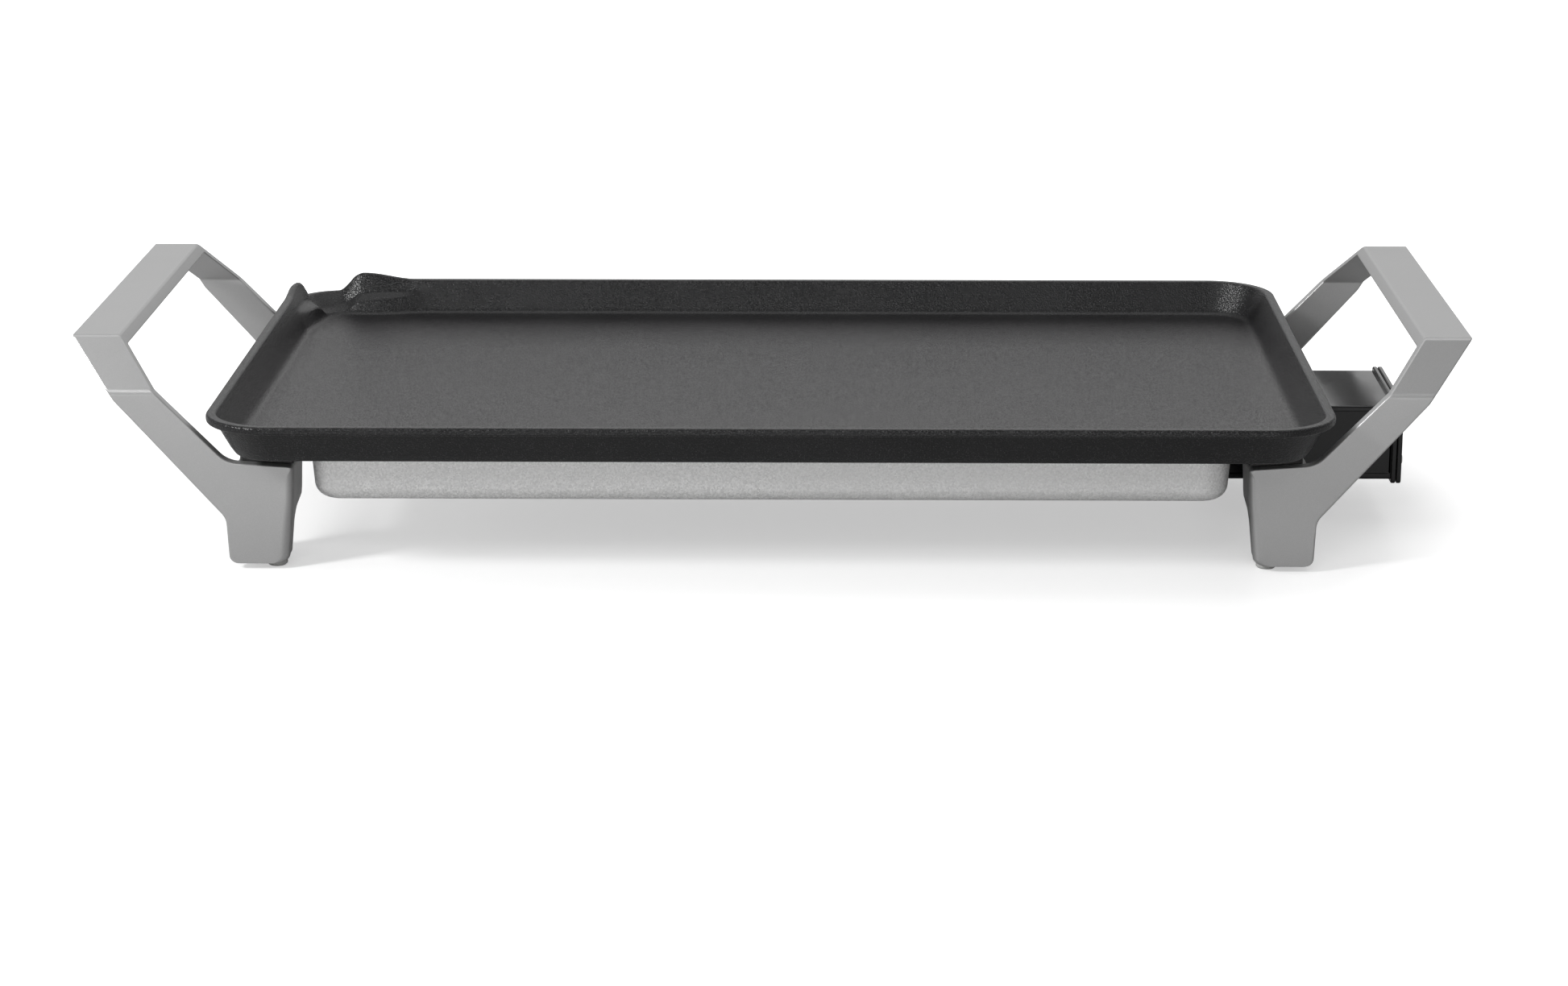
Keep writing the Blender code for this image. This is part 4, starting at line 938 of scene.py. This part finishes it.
class GRIDDLE_OT_heating_element(bpy.types.Operator):
    """Sheathed heating tube: four runs under the plate, both ends led down to the socket pins"""
    bl_idname = "griddle.heating_element"
    bl_label = "Build heating element"

    def execute(self, context):
        tube_radius = 3.3
        level = UNDER_Z - 0.3 - tube_radius
        half = [(238, -PIN_Y, PIN_Z), (216, -PIN_Y, PIN_Z), (198, -PIN_Y, level), (170, -PIN_Y, level),
                (170, -110, level), (-205, -110, level), (-205, -40, level), (130, -40, level)]
        radii = [0, 8, 8, 14, 30, 34, 34, 39]
        other = [(x, -y, z) for x, y, z in reversed(half)]
        path = filleted(half + other, radii + radii[::-1], 14)
        tube = add_piece("heating_tube", *swept_tube(path, tube_radius), MATERIALS["element_sheath"], 50.0)
        place(tube, "base", "element_sheath", "heating_element")
        outline = [(0.0, 238.4), (2.0, 238.4), (2.0, 275.0), (1.1, 276.0), (0.0, 276.0)]
        collar = [(2.3, 239.0), (5.2, 239.0), (5.2, 240.2), (7.0, 240.2), (7.0, 242.4), (5.2, 242.4),
                  (5.2, 253.0), (2.3, 253.0)]
        for name, y in (("front", -PIN_Y), ("rear", PIN_Y)):
            at = (0.0, y, PIN_Z)
            shape = rounded_turning(outline, (0, 0.2, 0.8, 0.4, 0), "X", at, 28, 4)
            pin = add_piece(f"socket_pin_{name}", *shape, MATERIALS["plated_steel"])
            place(pin, "base", "plated_steel", f"element_pin_{name}")
            shape = rounded_turning(collar, (0.3, 0.5, 0.2, 0.5, 0.5, 0.2, 0.7, 0.3), "X", at, 36)
            bush = add_piece(f"ceramic_bush_{name}", *shape, MATERIALS["ceramic_white"])
            place(bush, "base", "ceramic_white", f"pin_insulator_{name}")
        return {"FINISHED"}


# ---------------------------------------------------------------- socket and control

SOCKET_HALF_Y, SOCKET_Z, RIB_OVER = 42.0, (24.3, 66.8), 2.0
RIB_Z = (SOCKET_Z[0] - RIB_OVER, SOCKET_Z[1] + RIB_OVER)
DIAL_AT, LAMP_AT, GLAND_AT = (8.0, 45.5), (-24.0, 56.0), (30.8, 35.4)


def upright_panel(half_y, z, radius):
    """A rounded rectangle in Y and Z."""
    return rectangle_outline(half_y, (z[1] - z[0]) / 2.0, radius, 6) + (0.0, (z[0] + z[1]) / 2.0)


def housing(x, half_y, z, radius, edge, steps=5):
    """A rounded box along X whose ends are turned in by quarter rounds of the edge radius."""
    t = np.linspace(0.0, math.pi / 2.0, steps + 1)
    inset = np.concatenate([edge * (1 - np.sin(t)), edge * (1 - np.cos(t))])
    height = np.concatenate([x[0] + edge * (1 - np.cos(t)), x[1] - edge * (1 - np.sin(t))])
    rings = [along_axis(upright_panel(half_y - i, (z[0] + i, z[1] - i), max(radius - i, 0.15)), h, "X")
             for i, h in zip(inset, height)]
    return lofted(rings)


class GRIDDLE_OT_socket(bpy.types.Operator):
    """Fixed socket housing: open gloss box with an end rib, sunk side panels and pin holes"""
    bl_idname = "griddle.socket"
    bl_label = "Build socket housing"

    def execute(self, context):
        black = MATERIALS["gloss_black"]
        z = SOCKET_Z
        socket = add_piece("socket_box", *housing((248.6, 349.0), SOCKET_HALF_Y, z, 1.6, 0.9), black)
        rib = housing((346.5, 349.2), SOCKET_HALF_Y + RIB_OVER, RIB_Z, 2.2, 0.8)
        inside = housing((250.6, 354.0), SOCKET_HALF_Y - 2.0, (z[0] + 2.0, z[1] - 2.0), 1.0, 0.5)
        flat = rectangle_outline(47.4, 18.05, 2.0, 6) + (299.0, 45.75)
        panels = merged([prism(flat, "Y", *sorted((end * 41.2, end * 47.0))) for end in SIGNS])
        holes = merged(end_holes(245, 256, 5.8, 2.0, 3.4, 32))
        carve(socket, [(add_piece("rib", *rib, black), "UNION"),
                       (add_piece("inside", *inside, black), "DIFFERENCE"),
                       (add_piece("panels", *panels, black), "DIFFERENCE"),
                       (add_piece("holes", *holes, black), "DIFFERENCE")])
        socket.data.set_sharp_from_angle(angle=math.radians(35.0))
        bevelled(socket, 0.0003, 2, 50.0)
        place(socket, "base", "gloss_black", "socket_housing")
        return {"FINISHED"}


def scale_marks(count=11):
    """Raised bars round the dial, each square to its radius and set 30 degrees apart at the widest."""
    bars = []
    for k, angle in enumerate(np.radians(np.linspace(-150.0, 150.0, count))):
        reach = (15.1, 17.3) if k % 5 else (15.1, 18.4)
        across = 0.28 if k % 5 else 0.5
        flat = np.array([(-across, reach[0]), (across, reach[0]), (across, reach[1]), (-across, reach[1])])
        turn = np.array([[math.cos(angle), -math.sin(angle)], [math.sin(angle), math.cos(angle)]])
        bars.append(prism(flat @ turn.T + DIAL_AT, "X", 352.15, 352.28))
    return merged(bars)


class GRIDDLE_OT_control(bpy.types.Operator):
    """Plug-in control: bezel with dial well and scale, lens, cord gland and two case shells"""
    bl_idname = "griddle.control"
    bl_label = "Build control"

    def execute(self, context):
        self.build_bezel()
        marks = add_piece("dial_scale", *scale_marks(), MATERIALS["dial_print"])
        place(marks, "control", "gloss_black")

        outline = [(0, 348.4), (3.0, 348.4), (3.0, 353.4), (0.0, 354.7)]
        shape = rounded_turning(outline, (0, 0.3, 0.9, 0), "X", (0.0, *LAMP_AT), 40, 6)
        lens = add_piece("lamp_lens", *shape, MATERIALS["lens_amber"])
        place(lens, "control", "lens_amber", "pilot_lens")

        outline = [(3.2, 348.6), (5.0, 348.6), (5.0, 352.5), (6.4, 352.5), (6.4, 354.5), (5.5, 355.4),
                   (3.2, 355.4)]
        shape = rounded_turning(outline, (0.2, 0.3, 0.2, 0.3, 0.4, 0.4, 0.5), "X", (0.0, *GLAND_AT), 48)
        gland = add_piece("strain_relief", *shape, MATERIALS["matte_black"])
        place(gland, "control", "matte_black", "cord_gland")
        for name in ("lower", "upper"):
            self.build_shell(name)
        return {"FINISHED"}

    def build_bezel(self):
        """The face plate, with a cup behind it for the dial, and its holes."""
        black, dial = MATERIALS["gloss_black"], (0.0, *DIAL_AT)
        face = housing((349.5, 352.2), SOCKET_HALF_Y + RIB_OVER, RIB_Z, 2.2, 0.8)
        bezel = add_piece("control_face", *face, black)
        cup = add_piece("cup", *drilled(15.4, 342, 350.5, "X", dial, 72), black)
        well = [(0, 343.6), (14.2, 343.6), (14.2, 351.6), (14.9, 352.6), (14.9, 360), (0, 360)]
        cuts = [rounded_turning(well, (0, 0.6, 0.3, 0, 0, 0), "X", dial, 72, 4),
                drilled(3.5, 335, 350, "X", dial, 32),
                drilled(3.4, 345, 360, "X", (0.0, *LAMP_AT), 32),
                drilled(5.3, 345, 360, "X", (0.0, *GLAND_AT), 40)]
        cuts += [drilled(1.7, 345, 360, "X", (0.0, *at)) for at in BEZEL_SCREW_AT.values()]
        carve(bezel, [(cup, "UNION"), (add_piece("cuts", *merged(cuts), black), "DIFFERENCE")])
        bezel.data.set_sharp_from_angle(angle=math.radians(35.0))
        bevelled(bezel, 0.00025, 2, 50.0)
        place(bezel, "control", "gloss_black", "control_bezel")

    def build_shell(self, name):
        """Half of the case: a hollow box open at the split and behind the bezel, with a screw boss."""
        black, wall = MATERIALS["gloss_black"], 2.2
        low, high = span(f"control_shell_{name}")
        outer = housing((low[0], high[0]), high[1], (low[2], high[2]), 1.6, 0.7)
        shell = add_piece(f"case_shell_{name}", *outer, black)
        reach = (low[2] + wall, high[2] + 3.0) if name == "lower" else (low[2] - 3.0, high[2] - wall)
        inner = housing((low[0] + wall, high[0] + 3.0), high[1] - wall, reach, 1.0, 0.5)
        y, z = BEZEL_SCREW_AT[name]
        end = math.copysign(1.0, y)
        half = 3.6
        boss_y = sorted((y - end * half, end * (high[1] - 1.0)))
        boss = block((338.0, high[0] - 0.2), boss_y, (z - half, z + half))
        holes = [drilled(1.5, 340, 352, "X", (0.0, y, z))]
        if name == "upper":
            holes += [drilled(radius, 260, 268, "X", (0.0, *at), 28) for at, radius in
                      (((-PIN_Y, PIN_Z), 3.2), ((PIN_Y, PIN_Z), 3.2), ((0, PROBE_Z), 2.7))]
        carve(shell, [(add_piece("inner", *inner, black), "DIFFERENCE"),
                      (add_piece("boss", *boss, black), "UNION"),
                      (add_piece("holes", *merged(holes), black), "DIFFERENCE")])
        weighted(shell, 35.0)
        place(shell, "control", "gloss_black", f"control_shell_{name}")


class GRIDDLE_OT_dial(bpy.types.Operator):
    """Thermostat dial: fluted skirt, tapered grip ridge and a pointer line"""
    bl_idname = "griddle.dial"
    bl_label = "Build dial"

    def execute(self, context):
        black = MATERIALS["matte_black"]
        flutes = context.scene.griddle_control.flutes
        y, z = DIAL_AT
        profile = filleted([(0, 344.9), (13.2, 344.9), (13.5, 345.8), (13.5, 353.2), (11.6, 354.5),
                            (0, 354.3)], (0, 0.3, 0.4, 0.9, 1.4, 0), 6)
        angle = np.linspace(0.0, math.tau, flutes * 6, endpoint=False)
        fluted = 0.22 * (0.5 - 0.5 * np.cos(angle * flutes))
        rim = smoothstep(10.5, 12.6, profile[:, 0])[:, None]
        radius = profile[:, 0, None] - fluted[None] * rim
        flat = np.stack([radius * np.cos(angle), radius * np.sin(angle)], axis=-1) + (y, z)
        knob = lofted(along_axis(flat, profile[:, 1, None], "X"), False, False)
        knob = add_piece("dial_skirt", *knob, black, 40.0)
        ridge = []
        for height, shrink in ((352.0, 0.0), (355.0, 0.25), (357.2, 0.6), (357.9, 1.0), (358.3, 1.7),
                               (358.4, 2.4)):
            flat = rectangle_outline(3.6 - shrink, 11.3 - shrink, max(3.0 - shrink, 0.3), 8)
            ridge.append(along_axis(flat + (y, z), height, "X"))
        socket = drilled(2.4, 340, 350.5, "X", (0, y, z), 32)
        carve(knob, [(add_piece("ridge", *lofted(ridge), black), "UNION"),
                     (add_piece("socket", *socket, black), "DIFFERENCE")])
        weighted(knob, 40.0)
        place(knob, "dial", "matte_black", "dial_knob")

        line = rectangle_outline(0.4, 2.6, 0.35, 5) + (y, z + 6.6)
        pointer = add_piece("pointer_line", *prism(line, "X", 358.2, 358.4), MATERIALS["dial_print"])
        place(pointer, "dial", "matte_black")
        return {"FINISHED"}


# ---------------------------------------------------------------- fasteners and carried pieces

def screw_points(head_radius, head_height, shank_radius, shank_length):
    """Profile of a pan-head screw with a rolled thread: a saw-tooth of rings along the shank."""
    head = filleted([(0.0, -head_height), (head_radius * 0.9, -head_height),
                     (head_radius, -head_height * 0.3), (head_radius, 0.0), (shank_radius * 0.86, 0.0)],
                    (0, head_height * 0.45, 0.3, 0.15, 0), 5)
    end = shank_length - shank_radius
    turns = np.arange(1.0, end - 0.8, 0.9)
    zig = [[(shank_radius * 0.84, t), (shank_radius, t + 0.35), (shank_radius, t + 0.45)] for t in turns]
    tip = [(shank_radius * 0.84, end), (0.0, shank_length)]
    return np.concatenate([head, np.reshape(zig, (-1, 2)), tip])


# Head radius, head height, shank radius, shank length, direction and body of each kind of screw.
SCREWS = {
    "leg_screw": (4.4, 2.8, 1.9, 32.2, "Z", "base"),
    "shield_screw": (4.0, 2.4, 1.6, 12.0, "Z", "base"),
    "clamp_screw": (3.3, 2.0, 1.4, 7.0, "Z", "base"),
    "socket_screw": (3.6, 2.2, 1.6, 13.6, "-X", "base"),
    "bezel_screw": (2.9, 1.4, 1.2, 11.0, "-X", "control"),
}


def cross_slot(head_radius, head_height):
    """Two crossing bars that cut a cross recess into a screw's head."""
    long, narrow = head_radius * 0.55, head_radius * 0.13
    depth = (-head_height - 0.5, -head_height * 0.35)
    return merged([block((-long, long), (-narrow, narrow), depth),
                   block((-narrow, narrow), (-long, long), depth)])


def aimed(shape, axis, at):
    """Move a shape made along +Z so that it runs along Z or -X from the point."""
    points, faces = shape
    x, y, z = points.T
    return (points if axis == "Z" else np.stack([-z, y, x], axis=1)) + at, faces


class GRIDDLE_OT_fasteners(bpy.types.Operator):
    """Pan-head screws with threads and cross recesses, one for each CAD screw"""
    bl_idname = "griddle.fasteners"
    bl_label = "Build fasteners"

    def execute(self, context):
        steel = MATERIALS["plated_steel"]
        for name in sorted(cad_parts):
            kind = name.split("screw")[0] + "screw"
            if kind not in SCREWS:
                continue
            head_r, head_h, shank_r, shank_l, axis, body = SCREWS[kind]
            low, high = span(name)
            at = (low + high) / 2.0
            if axis == "Z":
                at[2] = low[2] + head_h
            else:
                at[0] = high[0] - head_h
            shape = turned(screw_points(head_r, head_h, shank_r, shank_l), "Z", (0, 0, 0), 24)
            screw = add_piece(f"pan_{name}", *aimed(shape, axis, at), steel, 40.0)
            cross = aimed(cross_slot(head_r, head_h), axis, at)
            carve(screw, [(add_piece("cross", *cross, steel), "DIFFERENCE")])
            weighted(screw, 35.0)
            place(screw, body, "plated_steel", name)
        return {"FINISHED"}


# The finish of each CAD piece that is shown as it is, by a word in its name.
CARRIED = {
    "plated_steel": ("element_clamp", "socket_nut", "thermostat_bracket", "sensor_probe"),
    "contact_brass": ("terminal_sleeve", "contact_leaf", "dial_spindle"),
    "ceramic_white": ("terminal_block", "contact_stack"),
    "lamp_glass": ("pilot_lamp",),
}


class GRIDDLE_OT_carried_pieces(bpy.types.Operator):
    """Give every CAD piece that is shown as it is the finish of its slot"""
    bl_idname = "griddle.carried_pieces"
    bl_label = "Finish carried pieces"

    def execute(self, context):
        for name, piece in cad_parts.items():
            if piece.hide_render:
                continue
            slots = [key for key, words in CARRIED.items() if any(word in name for word in words)]
            if len(slots) != 1:
                raise RuntimeError(f"{name} has no single finish: {slots}")
            piece.data.materials.clear()
            piece.data.materials.append(MATERIALS[slots[0]])
        return {"FINISHED"}


# ---------------------------------------------------------------- stage

# Each light's place, the point it is aimed at, and its width and height, in metres.
LIGHTS = {
    "overhead": ((0.0, 0.5, 2.2), (0.0, 0.2, 0.0), (3.0, 1.6)),
    "left_key": ((-1.85, -1.1, 1.42), (0.0, 0.0, 0.05), (0.4, 0.4)),
    "front_fill": ((-0.25, -2.0, 1.62), (0.0, 0.0, 0.05), (1.2, 0.5)),
    "back_card": ((0.1, 1.6, 0.85), (0.0, 0.0, 0.1), (2.8, 1.0)),
    "left_side": ((-1.9, -0.3, 0.9), (0.2, 0.0, 0.05), (0.5, 0.9)),
    "low_card": ((0.0, -0.85, 0.06), (0.0, -0.14, 0.03), (1.2, 0.1)),
}
CAMERA_AT, CAMERA_LENS, CAMERA_SHIFT = (0.04238, -1.94583, 0.56387), 80.61, -0.01205
CAMERA_PITCH, CAMERA_YAW, CAMERA_ROLL = 16.07, -0.79, -0.04


def area_light(name, watts):
    """A rectangular light from the table."""
    at, aim, size = LIGHTS[name]
    data = bpy.data.lights.new(name, "AREA")
    data.shape = "RECTANGLE"
    data.size, data.size_y = size
    data.energy = watts
    lamp = bpy.data.objects.new(name, data)
    bpy.context.scene.collection.objects.link(lamp)
    lamp.location = at
    lamp.rotation_euler = (Vector(aim) - Vector(at)).to_track_quat("-Z", "Y").to_euler()


class GRIDDLE_OT_stage(bpy.types.Operator):
    """Pale floor, soft lights and the camera"""
    bl_idname = "griddle.stage"
    bl_label = "Build stage"

    def execute(self, context):
        scene = context.scene
        settings = scene.griddle_stage
        slab = block((-9000, 9000), (-9000, 9000), (-20.0, 0.0))
        add_piece("floor", *slab, floor_material(settings))
        world = bpy.data.worlds.new("studio")
        world.use_nodes = True
        back = world.node_tree.nodes["Background"]
        back.inputs["Color"].default_value = (1.0, 1.0, 1.0, 1.0)
        back.inputs["Strength"].default_value = settings.sky
        scene.world = world
        scene.view_settings.view_transform = "Standard"
        area_light("overhead", settings.top_power)
        area_light("left_key", settings.key_power)
        area_light("front_fill", settings.fill_power)
        area_light("back_card", settings.back_power)
        area_light("left_side", settings.side_power)
        area_light("low_card", settings.low_power)
        self.add_camera(scene)
        return {"FINISHED"}

    def add_camera(self, scene):
        """Camera with the fitted place, pitch, yaw and roll."""
        pitch, yaw, roll = np.radians((CAMERA_PITCH, CAMERA_YAW, CAMERA_ROLL))
        ahead = Vector((math.sin(yaw) * math.cos(pitch), math.cos(yaw) * math.cos(pitch), -math.sin(pitch)))
        level = Vector((math.cos(yaw), -math.sin(yaw), 0.0))
        upright = level.cross(ahead)
        right = level * math.cos(roll) + upright * math.sin(roll)
        up = upright * math.cos(roll) - level * math.sin(roll)
        data = bpy.data.cameras.new("camera")
        data.sensor_width = 36.0
        data.lens = CAMERA_LENS
        data.shift_x = CAMERA_SHIFT
        data.clip_start, data.clip_end = 0.1, 60.0
        camera = bpy.data.objects.new("camera", data)
        turn = Matrix((right, up, -ahead)).transposed().to_4x4()
        camera.matrix_world = Matrix.Translation(CAMERA_AT) @ turn
        scene.collection.objects.link(camera)
        scene.camera = camera


def floor_material(settings):
    """Backlit white board, brighter in an oval some way out, that lights the griddle less than it looks."""
    material, tree, shader = new_material("white_board", 0.45, Emission_Strength=1.0)
    grain = group_node(tree, "Fine Grain", Grain_Scale=220.0, Cloud_Scale=2.0)
    ground = tuple(settings.ground)
    tone = mixed(tree, grain.outputs["Cloud"], scaled(ground, 0.99), ground)
    seen = tree.nodes.new("ShaderNodeLightPath").outputs["Is Camera Ray"]
    tone = mixed(tree, seen, scaled(ground, settings.bounce), tone)
    oval = node(tree, "ShaderNodeMapping", {"Vector": object_place(tree), "Scale": (2.85, 3.5, 0.0)})
    reach = node(tree, "ShaderNodeVectorMath", {"Vector": oval.outputs["Vector"]}, operation="LENGTH")
    glow = ramp_between(tree, reach.outputs["Value"], 1.0, 1.35, settings.glow, 0.9)
    tree.links.new(mixed(tree, seen, (0.0, 0.0, 0.0), glow), shader.inputs["Emission Color"])
    tree.links.new(tone, shader.inputs["Base Color"])
    rough = ramp_between(tree, grain.outputs["Grain"], 0.3, 0.7, 0.42, 0.48)
    tree.links.new(rough, shader.inputs["Roughness"])
    return material


# ---------------------------------------------------------------- add-on

class GRIDDLE_PT_panel(bpy.types.Panel):
    """Sizes, colours and build steps of the griddle"""
    bl_idname = "GRIDDLE_PT_panel"
    bl_label = "Electric Table Griddle"
    bl_space_type = "VIEW_3D"
    bl_region_type = "UI"
    bl_category = "Griddle"

    def draw(self, context):
        layout = self.layout
        for name, group in SETTINGS.items():
            box = layout.box()
            box.label(text=name.replace("griddle_", "").capitalize())
            for label in group.__annotations__:
                box.prop(getattr(context.scene, name), label)
        for operator in OPERATORS:
            layout.operator(operator.bl_idname)


SETTINGS = {
    "griddle_plate": PlateSettings,
    "griddle_casting": CastingSettings,
    "griddle_shield": ShieldSettings,
    "griddle_control": ControlSettings,
    "griddle_stage": StageSettings,
}
OPERATORS = (GRIDDLE_OT_plate, GRIDDLE_OT_handle_frames, GRIDDLE_OT_leg_fittings, GRIDDLE_OT_heat_shield,
             GRIDDLE_OT_heating_element, GRIDDLE_OT_socket, GRIDDLE_OT_control, GRIDDLE_OT_dial,
             GRIDDLE_OT_fasteners, GRIDDLE_OT_carried_pieces, GRIDDLE_OT_stage)


def register():
    for group in SETTINGS.values():
        bpy.utils.register_class(group)
    for name, group in SETTINGS.items():
        setattr(bpy.types.Scene, name, PointerProperty(type=group))
    for operator in OPERATORS:
        bpy.utils.register_class(operator)
    bpy.utils.register_class(GRIDDLE_PT_panel)


def unregister():
    bpy.utils.unregister_class(GRIDDLE_PT_panel)
    for operator in reversed(OPERATORS):
        bpy.utils.unregister_class(operator)
    for name in SETTINGS:
        delattr(bpy.types.Scene, name)
    for group in reversed(list(SETTINGS.values())):
        bpy.utils.unregister_class(group)


def main():
    register()
    make_materials()
    for operator in OPERATORS:
        space, name = operator.bl_idname.split(".")
        result = getattr(getattr(bpy.ops, space), name)()
        if result != {"FINISHED"}:
            raise RuntimeError(f"{operator.bl_label} did not finish")
    bpy.context.view_layer.update()


if __name__ == "__main__":
    main()
